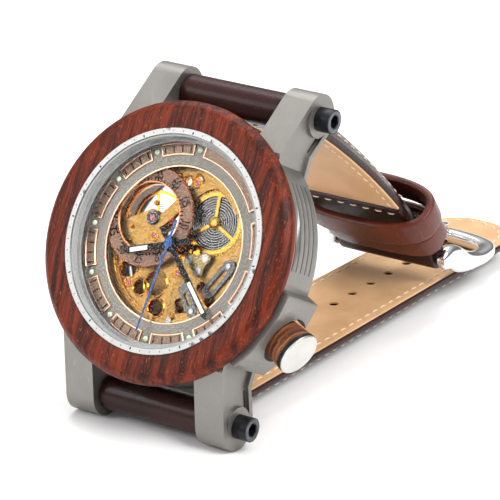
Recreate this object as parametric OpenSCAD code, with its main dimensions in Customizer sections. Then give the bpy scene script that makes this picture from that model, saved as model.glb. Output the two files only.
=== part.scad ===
// Skeleton automatic wristwatch with a wooden bezel, standing on its lower lugs and its open strap.
// Millimetres, +Z up. The origin lies on the standing surface, straight below the dial's centre.
// The head is drawn in its own frame: z = 0 on the dial's face, +Y to 12 o'clock, +X to 3 o'clock.

/* [Pose] */
// Angle between the dial plane and the standing surface, degrees
head_pitch = 62.8; // [55:0.2:70]
// Turn of the dial against the lugs, clockwise degrees
dial_turn = 1.6; // [0:0.2:3]

/* [Case] */
// Outer radius of the steel case band
case_r = 21.6; // [21:0.1:24]
// Radius of the hole that holds the movement
case_bore_r = 17.2; // [16:0.1:17.6]
// Height of the case band's top above the dial face
case_top = 0.8; // [0.4:0.1:1.4]
// Height of the case band from top to back
case_h = 9.4; // [8.6:0.1:11]
// Chamfer at the back edge of the band
case_chamfer = 1.1; // [0.4:0.1:1.6]
// Number of engraved lines on the 3 o'clock flank
flank_lines = 5; // [3:1:6]
// Width of an engraved line
flank_line_w = 0.22; // [0.15:0.01:0.4]

/* [Lugs] */
// Clear width between the lugs
lug_gap = 19.6; // [18:0.2:22]
// Thickness of one lug along the strap bar
lug_w = 5.4; // [4.4:0.1:6]
// Radius of the rounded lug end around the strap bar
lug_end_r = 4; // [3.6:0.1:4.6]
// Distance of the strap bar from the 3-9 axis
bar_y = 24.7; // [24.2:0.1:28]
// Depth of the strap bar below the dial face
bar_depth = 7.9; // [7:0.1:8.6]
// Depth of the pocket in the lug's outer face
lug_pocket = 0.6; // [0.3:0.1:1]
// Width of the rim round that pocket
lug_rim = 0.9; // [0.6:0.1:1.4]

/* [Lug screws] */
// Radius of the screw shank, which is the strap bar
bar_r = 1.25; // [1:0.05:1.5]
// Radius of the screw head
screw_head_r = 1.95; // [1.7:0.05:2.4]
// How far the screw head stands out from the lug
screw_head_out = 2.6; // [2:0.1:4.5]
// Radius of the hexagon socket, across corners
socket_r = 1.1; // [0.8:0.05:1.3]
// Depth of the hexagon socket
socket_depth = 1.8; // [1:0.1:2.5]
// Radial clearance of a turning fit
fit = 0.05; // [0.02:0.01:0.08]

/* [Bezel] */
// Outer radius of the wooden bezel
bezel_r = 22.5; // [22:0.1:25]
// Inner radius of the wooden bezel
bezel_bore_r = 17.9; // [17.6:0.1:18.6]
// Thickness of the wooden bezel
bezel_h = 2.5; // [2:0.1:3.5]
// Width of the bevel round the bezel's outer edge
bezel_bevel = 1.1; // [0.5:0.1:1.6]

/* [Crystal] */
// Radius of the crystal
crystal_r = 16.6; // [16:0.1:17]
// Thickness of the crystal
crystal_t = 1.3; // [0.8:0.1:1.6]
// Width of the gasket round the crystal
gasket_w = 0.3; // [0.2:0.05:0.5]
// Height of the polished ring above the bezel's top
rehaut_proud = 0.15; // [0:0.05:0.4]

/* [Dial] */
// Outer radius of the dial ring
dial_r = 16.9; // [16.5:0.1:17]
// Radius of the dial's opening
dial_bore_r = 12.4; // [11.8:0.1:12.6]
// Thickness of the dial ring
dial_t = 0.5; // [0.3:0.05:0.6]
// Radius at which the hour dots sit
dot_ring_r = 15.3; // [14.8:0.1:15.6]
// Radius of one hour dot
dot_r = 0.42; // [0.3:0.02:0.6]
// Inner radius of the raised plates between the hours
placard_in_r = 14.2; // [13.6:0.1:14.6]
// Outer radius of those plates
placard_out_r = 16.2; // [15.8:0.1:16.6]
// Height of those plates
placard_t = 0.3; // [0.15:0.05:0.4]
// Angle left clear at each hour between two plates
placard_gap = 7; // [5:0.5:12]

/* [Sub-dial] */
// Distance of the balance from the dial centre towards 9 o'clock
balance_x = 6.1; // [5.8:0.1:6.3]
// Distance of the balance from the dial centre towards 12 o'clock
balance_y = 3.4; // [3:0.1:3.6]
// Inner radius of the seconds ring round the balance
subdial_in_r = 5.55; // [5.2:0.05:5.6]
// Outer radius of that ring
subdial_out_r = 8; // [7.8:0.1:8.4]
// Thickness of that ring
subdial_t = 0.3; // [0.2:0.05:0.4]

/* [Hands] */
// Clockwise angle of the hour hand from 12
hour_angle = 251.3; // [0:0.1:360]
// Clockwise angle of the minute hand from 12
minute_angle = 135.1; // [0:0.1:360]
// Clockwise angle of the seconds hand from 12
second_angle = 186; // [0:0.1:360]
// Reach of the hour hand
hour_reach = 9.1; // [8:0.1:10]
// Reach of the minute hand
minute_reach = 14.4; // [13:0.1:14.8]
// Reach of the seconds hand
second_reach = 14.6; // [13:0.1:15]
// Width of the hour hand
hour_w = 1.15; // [0.8:0.05:1.4]
// Width of the minute hand
minute_w = 1.0; // [0.7:0.05:1.2]
// Width of the seconds hand
second_w = 0.42; // [0.3:0.02:0.6]
// Length of each hand's tail
hand_tail = 3.2; // [2:0.1:4]

/* [Crown] */
// Angle of the crown below the 3 o'clock axis
crown_angle = 26; // [20:1:30]
// Depth of the crown's axis below the dial face
crown_depth = 5.4; // [5.2:0.1:5.8]
// Distance of the crown's outer face from the dial centre
crown_reach = 26.7; // [26:0.1:30]
// Radius of the wooden grip at its outer end
crown_r = 3.6; // [3:0.1:4]
// Length of the wooden grip
crown_grip_l = 3.9; // [3.2:0.1:5]
// Thickness of the black ring behind the cap
crown_ring_t = 0.6; // [0.4:0.1:1]
// Thickness of the steel cap
crown_cap_t = 0.35; // [0.2:0.05:0.6]
// Travel of the crown when it is pulled
crown_pull = 0.9; // [0.5:0.1:1.2]
// Radius of the winding stem
stem_r = 0.5; // [0.4:0.05:0.6]
// How far the crown guards stand out from the band
guard_out = 1.6; // [1:0.1:2.2]

/* [Movement] */
// Radius of the main plate
plate_r = 12.9; // [12.9:0.1:13.4]
// Thickness of the main plate
plate_t = 1.2; // [1:0.1:1.3]
// Thickness of the bridges
bridge_t = 0.8; // [0.6:0.05:0.9]
// Pitch radius of the barrel's teeth
barrel_r = 5.5; // [5.2:0.1:5.6]
// Gap that keeps two rolling wheels from touching
mesh_gap = 0.04; // [0.02:0.01:0.08]
// Thickness of a train wheel
wheel_t = 0.2; // [0.15:0.01:0.22]
// Radius of the balance rim
balance_r = 4.6; // [4.2:0.1:4.7]
// Radius of the rotor
rotor_r = 12.4; // [11.5:0.1:12.6]
// Thickness of the rotor's rim weight
rotor_t = 1.1; // [0.8:0.1:1.2]

/* [Case back] */
// Outer radius of the case back ring
back_r = 18.6; // [18:0.1:19]
// Radius of the window in the case back
window_r = 14; // [13:0.1:14.5]
// Thickness of the case back
back_t = 1.6; // [1.4:0.1:2]
// Thickness of the back window
back_glass_t = 0.9; // [0.7:0.1:1]

/* [Strap] */
// Width of both strap halves
strap_w = 19.2; // [17:0.2:21.4]
// Thickness of the padded strap
strap_t = 4.6; // [3.4:0.1:5]
// Thickness of the strap at its edges
strap_edge_t = 1.2; // [0.8:0.1:1.6]
// Thickness of the lining
lining_t = 0.8; // [0.5:0.1:1]
// Radius of the leather loop round the strap bar
loop_r = 2.9; // [2.6:0.1:3]
// Length of the long half from the bar to its tip
long_l = 100; // [90:1:120]
// Distance of the first hole from the bar
first_hole = 50.5; // [45:0.5:60]
// Distance between two holes
hole_pitch = 5.8; // [5:0.1:7]
// Number of holes
hole_count = 7; // [5:1:7]
// Radius of one hole
hole_r = 0.85; // [0.7:0.05:1.1]
// Length of the turned-over leather at a lug
flap_l = 12; // [8:1:16]
// Length of the turned-over leather at the buckle
buckle_flap_l = 18; // [14:1:20]
// Distance between the short half's two bars
short_l = 60.2; // [58:0.2:62]
// How far the short half bows out between its bars
short_bow = 2.5; // [1.5:0.1:4]
// Angle below the horizontal at which the short half runs down
short_drop = 39.9; // [38:0.1:41]

/* [Keepers] */
// Thickness of a keeper's leather
keeper_t = 1.4; // [1:0.1:1.8]
// Width of a keeper along the strap
keeper_w = 5; // [4:0.1:6]
// Distance of the fixed keeper from the buckle bar
fixed_keeper_s = 3.6; // [3.4:0.1:4.2]
// Distance of the free keeper from the buckle bar
free_keeper_s = 9.6; // [9.4:0.1:12]
// Room beside the strap inside the fixed keeper
fixed_keeper_room = 0.5; // [0.3:0.1:1]
// Room beside the strap inside the free keeper
free_keeper_room = 1.9; // [1.4:0.1:2.4]

/* [Buckle] */
// Half the outer width of the buckle frame
buckle_half_w = 12.2; // [12:0.1:13]
// Width of one arm of the frame
buckle_arm_w = 2.3; // [1.8:0.1:2.6]
// Length of the frame from the bar to the cross bar's corners
buckle_l = 16; // [14:0.2:18]
// Extra length at the middle of the bowed cross bar
buckle_bow = 3; // [2:0.2:4]
// Height of the frame at the bar
buckle_h = 4.2; // [3.6:0.1:4.6]
// Height of the frame at the cross bar
buckle_tip_h = 2.6; // [2:0.1:3.2]
// Radius of the buckle bar
buckle_bar_r = 0.8; // [0.6:0.05:1]
// Radius of the leather loop round the buckle bar
buckle_loop_r = 2.1; // [1.9:0.1:2.3]
// Width of the tang
tang_w = 1.9; // [1.5:0.1:2.4]
// Thickness of the tang
tang_t = 1.1; // [0.8:0.1:1.3]

/* [Hidden] */
$fn = 96;
eps = 0.01;

// Heights on the head's axis
case_back_z = case_top - case_h;
bezel_top = case_top + bezel_h;
crystal_top = bezel_top - 0.1;
crystal_z = crystal_top - crystal_t;
dial_z = -dial_t;
subdial_z = dial_z - 0.1 - subdial_t;
motion_z = subdial_z - 0.3;
plate_z = -1.9;
plate_back = plate_z - plate_t;
level_1 = plate_back - 0.25;
drum_h = 0.95;
level_2 = level_1 - drum_h - 0.3;
level_3 = level_2 - wheel_t - 0.2;
level_4 = level_3 - wheel_t - 0.2;
level_5 = level_4 - wheel_t - 0.2;
bridge_z = level_5 - 0.2;
bridge_back = bridge_z - bridge_t;
rotor_z = bridge_back - 0.3 - rotor_t;
back_z = case_back_z - back_t + 0.5;
back_glass_z = back_z + 0.3;

// Where the head stands
head_z = lug_end_r + bar_y * sin(head_pitch) + bar_depth * cos(head_pitch);
low_bar = [0, bar_depth * sin(head_pitch) - bar_y * cos(head_pitch), lug_end_r];
high_bar = [0, bar_depth * sin(head_pitch) + bar_y * cos(head_pitch),
            head_z + bar_y * sin(head_pitch) - bar_depth * cos(head_pitch)];

// Short strap half: an arc between the two bars
buckle_axis = [0, high_bar[1] + short_l * cos(short_drop), high_bar[2] - short_l * sin(short_drop)];
arc_r = short_l * short_l / (8 * short_bow) + short_bow / 2;
arc_half = asin(short_l / 2 / arc_r);
arc_mid = 90 - short_drop;
arc_c = [0, (high_bar[1] + buckle_axis[1]) / 2 - (arc_r - short_bow) * cos(arc_mid),
         (high_bar[2] + buckle_axis[2]) / 2 - (arc_r - short_bow) * sin(arc_mid)];
short_in = 0.9;
short_out = strap_t - short_in;
bar_lift = 0.4;

// Movement layout, clockwise angles from 12 in the head's frame
balance_c = [-balance_x, balance_y];
barrel_angle = 46;
center_pinion_r = 1.43;
center_r = 3.75;
third_pinion_r = 0.5;
third_r = 3.78;
fourth_pinion_r = 0.4725;
fourth_r = 3.78;
escape_pinion_r = 0.315;
escape_r = 1.9;
cannon_r = 0.6;
minute_wheel_r = 1.8;
minute_pinion_r = 0.5;
hour_wheel_r = cannon_r + minute_wheel_r - minute_pinion_r;
barrel_c = polar(barrel_r + center_pinion_r, barrel_angle);
third_c = polar(center_r + third_pinion_r, 166);
escape_c = polar(fourth_r + escape_pinion_r, -110);
minute_c = polar(cannon_r + minute_wheel_r, 100);
pallet_lead = 2.4;
pallet_c = escape_c + pallet_lead * unit2(balance_c - escape_c);
pivot_r = 0.12;
tube_r = 0.45;
hour_tube_r = 0.8;
foot_ring_r = plate_r - 1.2;
second_pin_r = 0.15;

function polar(r, clock) = [r * sin(clock), r * cos(clock)];
function unit2(v) = v / norm(v);
function clock_of(v) = atan2(v[0], v[1]);
function arc(r, a0, a1, n) = [for (i = [0:n]) r * [cos(a0 + (a1 - a0) * i / n), sin(a0 + (a1 - a0) * i / n)]];

// ---------- placing ----------

module in_head() {
    translate([0, 0, head_z]) rotate([head_pitch, 0, 0]) children();
}

module at2(p, z = 0) {
    translate([p[0], p[1], z]) children();
}

// A frame whose +X is the crown's axis, pointing out
module crown_frame() {
    rotate([0, 0, -crown_angle]) translate([0, 0, -crown_depth]) rotate([0, 90, 0]) children();
}

// A frame on the short strap at distance s from the buckle bar: +Z along the strap, +Y outwards
module on_short(s) {
    a = arc_mid - arc_half + s / arc_r * 180 / PI;
    translate(arc_c) rotate([a, 0, 0]) translate([0, arc_r, 0]) children();
}

// ---------- small shapes ----------

module tube(r_out, r_in, h) {
    difference() {
        cylinder(r = r_out, h = h);
        translate([0, 0, -1]) cylinder(r = r_in, h = h + 2);
    }
}

module ring_sector(r_in, r_out, a0, a1, h) {
    linear_extrude(h)
        polygon(concat(arc(r_out, a0, a1, 10), arc(r_in, a1, a0, 10)));
}

// A slot between two points. Its sides lie a hair inside the tangents, so they cross both end circles cleanly
module slot2(p, q, r) {
    side = r * 0.996;
    at2(p) circle(r, $fn = 32);
    at2(q) circle(r, $fn = 32);
    v = q - p;
    at2(p) rotate([0, 0, atan2(v[1], v[0])]) translate([0, -side]) square([norm(v), 2 * side]);
}

// A toothed disc whose tips stay inside the rolling circle
module teeth2(r, n, depth) {
    tip = r - mesh_gap / 2;
    polygon([for (i = [0:n - 1]) for (k = [[0, 0], [0.2, 1], [0.55, 1], [0.75, 0]])
        polar(tip - depth * (1 - k[1]), 360 * (i + k[0]) / n)]);
}

module spoked_wheel(r, n, spokes, hub_r, rim_w, h, bore) {
    depth = 0.28;
    linear_extrude(h) difference() {
        teeth2(r, n, depth);
        difference() {
            circle(r - depth - rim_w);
            circle(hub_r, $fn = 32);
            for (i = [0:spokes - 1]) rotate(i * 360 / spokes)
                translate([-hub_r * 0.35, 0]) square([hub_r * 0.7, r]);
        }
        circle(bore, $fn = 32);
    }
}

module pinion(r, n, h, bore = 0) {
    linear_extrude(h) difference() {
        teeth2(r, n, r * 0.3);
        if (bore > 0) circle(bore, $fn = 32);
    }
}

// A flat spiral band, as many turns as asked
module spiral2(r0, r1, turns, w) {
    n = 28 * turns;
    polygon(concat(
        [for (i = [0:n]) polar(r0 + (r1 - r0) * i / n, 360 * turns * i / n)],
        [for (i = [n:-1:0]) polar(r0 + w + (r1 - r0) * i / n, 360 * turns * i / n)]));
}

// ---------- case ----------

// Side outline of a lug, in (y, z): tangents run from the band to the rounded end
// Rear corner of the lug and the angle at which its rear edge meets the rounded end.
function lug_back(inset) = [case_r - 3.2, case_back_z + inset];
function lug_back_a(inset) =
    let (v = lug_back(inset) - [bar_y, -bar_depth])
    atan2(v[1], v[0]) + acos((lug_end_r - inset) / norm(v));
// Point along the lug's rear edge, 0 at the corner and 1 at the rounded end.
function lug_back_at(inset, t) =
    let (a = lug_back_a(inset), end = [bar_y, -bar_depth] + (lug_end_r - inset) * [cos(a), sin(a)])
    lug_back(inset) * (1 - t) + end * t;

module lug_outline(inset = 0) {
    r = lug_end_r - inset;
    c = [bar_y, -bar_depth];
    root = case_r - 9.2 + inset * 3;
    top = [case_r - 4.2, case_top - inset];
    back = lug_back(inset);
    top_a = atan2(top[1] - c[1], top[0] - c[0]) - acos(r / norm(top - c));
    back_a = lug_back_a(inset);
    polygon(concat(
        [[root, top[1]], top],
        [for (p = arc(r, top_a, back_a, 28)) c + p],
        [back, [root, back[1]]]));
}

module lug_slab(x0, x1, inset = 0) {
    translate([x0, 0, 0]) rotate([90, 0, 90]) linear_extrude(x1 - x0) lug_outline(inset);
}

module lug() {
    x0 = lug_gap / 2;
    difference() {
        lug_slab(x0, x0 + lug_w);
        lug_slab(x0 + lug_w - lug_pocket, x0 + lug_w + 1, lug_rim);
        lug_groove(x0 + lug_w - lug_pocket - 0.8);
    }
}

// Narrow groove along the rear edge of the pocket.
module lug_groove(x0) {
    low = lug_rim + 0.15;
    high = low + 0.5;
    translate([x0, 0, 0]) rotate([90, 0, 90]) linear_extrude(lug_w) polygon([
        lug_back_at(low, 0.15), lug_back_at(low, 0.75), lug_back_at(high, 0.7), lug_back_at(high, 0.15)
    ]);
}

module guard_block() {
    out = case_r + guard_out;
    half = crown_r + 3.4;
    intersection() {
        rotate([0, 0, -crown_angle]) translate([case_bore_r + 1, -half, case_back_z + 0.4])
            cube([out - case_bore_r - 1, 2 * half, case_h - 0.5]);
        translate([0, 0, case_back_z]) cylinder(r = out + 0.2, h = case_h);
    }
}

module case_band() {
    rotate_extrude() polygon([
        [case_bore_r, case_top], [case_r - 0.3, case_top], [case_r, case_top - 0.3],
        [case_r, case_back_z + case_chamfer], [case_r - case_chamfer, case_back_z],
        [case_bore_r, case_back_z]
    ]);
}

module flank_engraving() {
    pitch = (case_h - case_chamfer - 1.6) / flank_lines;
    for (i = [0:flank_lines - 1])
        translate([0, 0, case_top - 1.3 - i * pitch])
            rotate_extrude(start = 1, angle = 38)
                translate([case_r - flank_line_w, -flank_line_w]) square([1, flank_line_w]);
}

module case_middle() {
    color("#9b9a97") in_head() difference() {
        union() {
            case_band();
            lug();
            mirror([1, 0, 0]) lug();
            mirror([0, 1, 0]) lug();
            rotate([0, 0, 180]) lug();
            guard_block();
        }
        translate([0, 0, case_back_z - 5]) cylinder(r = case_bore_r, h = 20);
        translate([0, 0, case_back_z - 1]) cylinder(r = back_r + 0.05, h = 1.5);
        translate([0, 0, case_top - 0.6]) cylinder(r = bezel_bore_r, h = 2);
        for (s = [-1, 1]) translate([-lug_gap / 2, s * bar_y, -bar_depth]) rotate([0, 90, 0])
            cylinder(r = loop_r + 0.4, h = lug_gap);
        for (s = [-1, 1]) translate([-30, s * bar_y, -bar_depth]) rotate([0, 90, 0])
            cylinder(r = bar_r, h = 60);
        crown_frame() cylinder(r = 1.2, h = 40);
        crown_frame() translate([0, 0, case_r - 0.6]) cylinder(r = crown_r + 0.5, h = 10);
        flank_engraving();
    }
}

module crown_tube() {
    color("#b8b8b6") in_head() crown_frame() translate([0, 0, case_bore_r - 0.6])
        tube(1.2, stem_r + fit, case_r - case_bore_r - 0.2);
}

module lug_screws() {
    right = lug_gap / 2 + lug_w;
    color("#1c1c1e") in_head() for (s = [-1, 1])
        translate([0, s * bar_y, -bar_depth]) rotate([0, 90, 0]) difference() {
            union() {
                translate([0, 0, -right + lug_pocket]) cylinder(r = bar_r, h = 2 * right - lug_pocket);
                translate([0, 0, right - lug_pocket])
                    cylinder(r = screw_head_r, h = screw_head_out + lug_pocket);
            }
            translate([0, 0, right + screw_head_out - socket_depth])
                cylinder(r = socket_r, h = socket_depth + 1, $fn = 6);
        }
}

module wood_bezel() {
    lip = 0.35;
    color("#7d2f1d") in_head() rotate_extrude() polygon([
        [bezel_bore_r, bezel_top], [bezel_r - bezel_bevel, bezel_top],
        [bezel_r - bezel_bevel * 0.35, bezel_top - bezel_bevel * 0.35],
        [bezel_r, bezel_top - bezel_bevel], [bezel_r, case_top + lip],
        [bezel_r - lip, case_top], [bezel_bore_r, case_top]
    ]);
}

module rehaut_ring() {
    seat = crystal_r + gasket_w;
    color("#c9cacb") in_head() rotate_extrude() polygon([
        [dial_r - 0.1, dial_z + dial_t], [dial_r + 0.1, dial_z + dial_t], [dial_r + 0.1, dial_z - 0.3],
        [case_bore_r, dial_z - 0.3], [case_bore_r, case_top - 0.6],
        [bezel_bore_r, case_top - 0.6], [bezel_bore_r, bezel_top + rehaut_proud],
        [seat, bezel_top + rehaut_proud], [seat, crystal_z - 0.3],
        [crystal_r - 0.6, crystal_z - 0.3]
    ]);
}

module crystal() {
    color([0.85, 0.92, 0.95, 0.3]) in_head() translate([0, 0, crystal_z])
        cylinder(r = crystal_r, h = crystal_t);
}

module crystal_gasket() {
    color("#e8e8e4") in_head() translate([0, 0, crystal_z - 0.3]) difference() {
        cylinder(r = crystal_r + gasket_w, h = crystal_t + 0.3);
        translate([0, 0, 0.3]) cylinder(r = crystal_r, h = crystal_t + 1);
        translate([0, 0, -1]) cylinder(r = crystal_r - 0.6, h = 3);
    }
}

// ---------- dial ----------

module dial() {
    color("#a39d93") in_head() rotate([0, 0, -dial_turn]) translate([0, 0, dial_z])
        tube(dial_r, dial_bore_r, dial_t);
}

// The plate from 12 to 2 is one long piece, the others reach from hour to hour
module dial_placards() {
    color("#b08468") in_head() rotate([0, 0, -dial_turn])
        for (i = [1:11]) {
            from = 90 - 30 * (i == 1 ? 0 : i);
            ring_sector(placard_in_r, placard_out_r, from - placard_gap / 2,
                        90 - 30 * (i + 1) + placard_gap / 2, placard_t);
        }
}

module lume_dots() {
    color("#cfdcae") in_head() rotate([0, 0, -dial_turn])
        for (i = [2:12]) at2(polar(dot_ring_r, 30 * i), -eps)
            cylinder(r = dot_r, h = 0.25 + eps, $fn = 24);
}

module subdial_ring() {
    color("#a9745c") in_head() translate([0, 0, subdial_z]) difference() {
        at2(balance_c) tube(subdial_out_r, subdial_in_r, subdial_t);
        translate([0, 0, -1]) cylinder(r = hour_tube_r + 0.25, h = 3, $fn = 48);
    }
}

// ---------- case back ----------

module case_back() {
    ring_top = case_back_z + 0.5;
    color("#8f8f8d") in_head() difference() {
        rotate_extrude() polygon([
            [window_r, back_z], [back_r - 1.2, back_z], [back_r, back_z + 0.9],
            [back_r, ring_top], [window_r, ring_top]
        ]);
        translate([0, 0, back_glass_z]) cylinder(r = window_r + 1, h = 5);
        for (i = [0:5]) rotate([0, 0, 60 * i]) translate([back_r - 1.9, 0, back_z - 1])
            cylinder(r = 0.6, h = 1.5, $fn = 24);
    }
}

module back_glass() {
    color([0.85, 0.92, 0.95, 0.3]) in_head() translate([0, 0, back_glass_z])
        cylinder(r = window_r + 1 - 0.02, h = back_glass_t);
}

module back_gasket() {
    color("#303030") in_head() translate([0, 0, back_glass_z + back_glass_t])
        tube(window_r + 0.98, window_r + 0.2, 0.25);
}

module movement_ring() {
    color("#d8d6cf") in_head() difference() {
        translate([0, 0, bridge_back]) tube(case_bore_r - 0.05, plate_r + 0.02, dial_z - 0.02 - bridge_back);
        crown_frame() cylinder(r = 1.3, h = 30);
        translate([0, 0, dial_z - 0.4]) tube(case_bore_r + 1, dial_r - 0.3, 2);
        translate([0, 0, subdial_z - 0.05]) cylinder(r = norm(balance_c) + subdial_out_r + 0.1, h = 3);
    }
}

// ---------- movement ----------

module plate_windows() {
    at2(barrel_c) circle(barrel_r - 0.15);
    difference() {
        at2(balance_c) circle(subdial_in_r - 0.1);
        slot2(balance_c + [-6, -3.6], balance_c + [-0.3, -0.1], 1.5);
        slot2(balance_c + [-1, -3.6], balance_c + [4.2, 3.4], 0.9);
        slot2(balance_c + [-4, -4.3], balance_c + [1, -3.6], 2.2);
    }
    for (p = [[-8.2, -5.2, 1.5], [-5.2, -7.6, 1.2], [-2.6, -6.6, 1.9], [0.2, 10.6, 0.8],
              [-1.4, -10.2, 1.3], [11.2, -2.2, 0.5], [-1.6, 10.2, 0.7]])
        at2([p[0], p[1]]) circle(p[2], $fn = 48);
    slot2([5.8, -5.4], [8.2, -7.4], 0.9);
    slot2([2.6, -8.6], [3.4, -10.6], 0.8);
}

module main_plate() {
    color("#d9a441") in_head() translate([0, 0, plate_back]) difference() {
        linear_extrude(plate_t) difference() {
            circle(plate_r);
            plate_windows();
        }
        translate([0, 0, -1]) cylinder(r = tube_r + fit, h = 5, $fn = 48);
        for (p = [third_c, escape_c, pallet_c, balance_c])
            at2(p, -1) cylinder(r = pivot_r + fit, h = 1.7, $fn = 32);
        at2(minute_c, plate_t - 0.5) cylinder(r = pivot_r + fit, h = 1, $fn = 32);
    }
}

// A bridge is a plate between pivots, with its feet standing on the main plate
module bridge(holes, feet) {
    translate([0, 0, bridge_back]) difference() {
        linear_extrude(bridge_t) children();
        for (p = holes) at2(p, -1) cylinder(r = pivot_r + fit, h = 5, $fn = 32);
    }
    for (p = feet) at2(p, bridge_z - eps) cylinder(r = 0.8, h = plate_back - bridge_z + eps, $fn = 32);
}

module barrel_bridge() {
    color("#d9a441") in_head() bridge([], [polar(foot_ring_r, 8), polar(foot_ring_r, 84)])
        difference() {
            union() {
                at2(barrel_c) circle(3.2);
                slot2(polar(foot_ring_r, 8), barrel_c, 1);
                slot2(polar(foot_ring_r, 84), barrel_c, 1);
            }
            at2(barrel_c) circle(0.6 + fit, $fn = 32);
        }
}

module train_bridge() {
    feet = [polar(foot_ring_r, 205), polar(foot_ring_r, 150), polar(9.6, 180)];
    color("#d9a441") in_head() bridge([third_c, escape_c, pallet_c], feet)
        difference() {
            union() {
                circle(1.7);
                slot2([0, 0], third_c, 1.3);
                slot2(third_c, feet[0], 1.1);
                slot2(third_c, feet[1], 1.1);
                slot2(third_c, feet[2], 1);
                slot2(third_c, escape_c, 1);
                slot2(escape_c, pallet_c, 0.8);
            }
            circle(pivot_r + fit, $fn = 32);
        }
}

module balance_cock() {
    foot = polar(foot_ring_r, -108);
    color("#d9a441") in_head() bridge([balance_c], [foot]) union() {
        at2(balance_c) circle(1.3);
        slot2(balance_c, foot, 1.1);
    }
}

module jewels() {
    color("#b3123c") in_head() {
        at2(balance_c, plate_z + eps) cylinder(r = 0.55, h = 0.3, $fn = 32);
        for (p = [third_c, escape_c, pallet_c])
            at2(p, plate_z + eps) cylinder(r = 0.42, h = 0.12, $fn = 32);
        for (p = [third_c, escape_c, pallet_c, balance_c])
            at2(p, bridge_back - 0.12) cylinder(r = 0.42, h = 0.12, $fn = 32);
        for (p = [polar(10.4, -134), polar(10.3, 2)])
            at2(p, plate_z + eps) cylinder(r = 0.42, h = 0.12, $fn = 32);
    }
}

module one_screw(r, h) {
    difference() {
        cylinder(r = r, h = h, $fn = 32);
        translate([-r, -r * 0.16, h * 0.45]) cube([2 * r, r * 0.32, h]);
    }
}

module movement_screws() {
    color("#6f7277") in_head() {
        for (a = [-22, 110, -150, 172, -104])
            at2(polar(foot_ring_r, a), plate_z + eps) one_screw(0.5, 0.22);
        for (p = [polar(9.6, 180), for (a = [8, 84, 205, 150, -108]) polar(foot_ring_r, a)])
            at2(p, bridge_back) mirror([0, 0, 1]) translate([0, 0, eps]) one_screw(0.65, 0.2);
        for (p = cover_screws) at2(p, motion_z + 0.12 + eps) one_screw(0.62, 0.12);
        at2([9.9, -1.2], plate_z + 0.35 + eps) one_screw(0.4, 0.2);
        at2([5.4, -9.4], plate_z + 0.35 + eps) one_screw(0.4, 0.2);
    }
}

cover_screws = [[2.9, -1.7], [5.7, -0.9], [4.9, -3.1]];

module minute_cover() {
    color("#55503f") in_head() {
        translate([0, 0, motion_z]) linear_extrude(0.12) {
            for (p = cover_screws) at2(p) circle(0.95, $fn = 40);
            slot2(cover_screws[0], cover_screws[1], 0.7);
            slot2(cover_screws[1], cover_screws[2], 0.7);
            slot2(cover_screws[2], cover_screws[0], 0.7);
        }
        for (p = [cover_screws[1], cover_screws[2]])
            at2(p, plate_z + eps) cylinder(r = 0.3, h = motion_z - plate_z, $fn = 32);
    }
}

module setting_spring() {
    a = [10, -1.3];
    b = [7.5, -5.7];
    color("#3b3d41") in_head() translate([0, 0, plate_z + eps]) linear_extrude(0.35) difference() {
        slot2(a, b, 1.15);
        slot2(a + 0.25 * (b - a), b - 0.08 * (b - a), 0.4);
    }
}

module yoke_spring() {
    a = [3.0, -6.4];
    b = [5.5, -9.5];
    color("#3b3d41") in_head() translate([0, 0, plate_z + eps]) linear_extrude(0.35) difference() {
        slot2(a, b, 0.95);
        slot2(a + 0.2 * (b - a), b - 0.35 * (b - a), 0.3);
    }
}

// ---------- train ----------

module barrel_drum() {
    color("#c8963a") in_head() at2(barrel_c) {
        translate([0, 0, level_1]) spoked_wheel(barrel_r, 77, 3, 1.1, 0.7, wheel_t, 0.35);
        translate([0, 0, level_1 - drum_h]) tube(barrel_r - 0.5, barrel_r - 0.75, drum_h + eps);
        translate([0, 0, level_1 - drum_h]) tube(0.9, 0.35, drum_h + eps);
        translate([0, 0, bridge_back + 0.1]) cylinder(r = 0.6, h = level_1 - drum_h - bridge_back, $fn = 32);
        translate([0, 0, level_1 - drum_h]) cylinder(r = barrel_r - 0.6, h = 0.12);
    }
}

module mainspring() {
    color("#4a4d52") in_head() at2(barrel_c, level_1 - drum_h + 0.16) linear_extrude(drum_h - 0.22)
        spiral2(1.2, barrel_r - 1.25, 9, 0.2);
}

module center_wheel() {
    color("#d9a441") in_head() {
        translate([0, 0, level_2]) spoked_wheel(center_r, 75, 4, 0.9, 0.45, wheel_t, second_pin_r + fit);
        translate([0, 0, level_2]) tube(tube_r, second_pin_r + fit, 1.2 - level_2);
        translate([0, 0, level_1 - 0.02]) pinion(center_pinion_r, 20, 0.24, tube_r - eps);
        translate([0, 0, plate_z + 0.06]) pinion(cannon_r, 10, 0.3, tube_r - eps);
    }
}

module minute_wheel() {
    color("#d9a441") in_head() at2(minute_c) {
        translate([0, 0, plate_z + 0.08]) spoked_wheel(minute_wheel_r, 30, 4, 0.5, 0.35, 0.24, 0);
        translate([0, 0, plate_z + 0.08]) pinion(minute_pinion_r, 8, 0.58);
        translate([0, 0, plate_z - 0.4]) cylinder(r = pivot_r, h = 0.6, $fn = 32);
    }
}

module hour_wheel() {
    color("#d9a441") in_head() {
        translate([0, 0, plate_z + 0.42]) linear_extrude(0.24) difference() {
            teeth2(hour_wheel_r, 32, 0.22);
            circle(hour_tube_r - eps);
        }
        translate([0, 0, plate_z + 0.42]) tube(hour_tube_r, tube_r + fit, 0.6 - plate_z - 0.42);
    }
}

module third_wheel() {
    color("#d9a441") in_head() at2(third_c) {
        translate([0, 0, level_3]) spoked_wheel(third_r, 80, 4, 0.7, 0.4, wheel_t, 0);
        translate([0, 0, level_2 - 0.05]) pinion(third_pinion_r, 10, wheel_t + 0.1);
        translate([0, 0, bridge_back + 0.1]) cylinder(r = pivot_r, h = plate_z - 0.7 - bridge_back, $fn = 32);
    }
}

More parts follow.
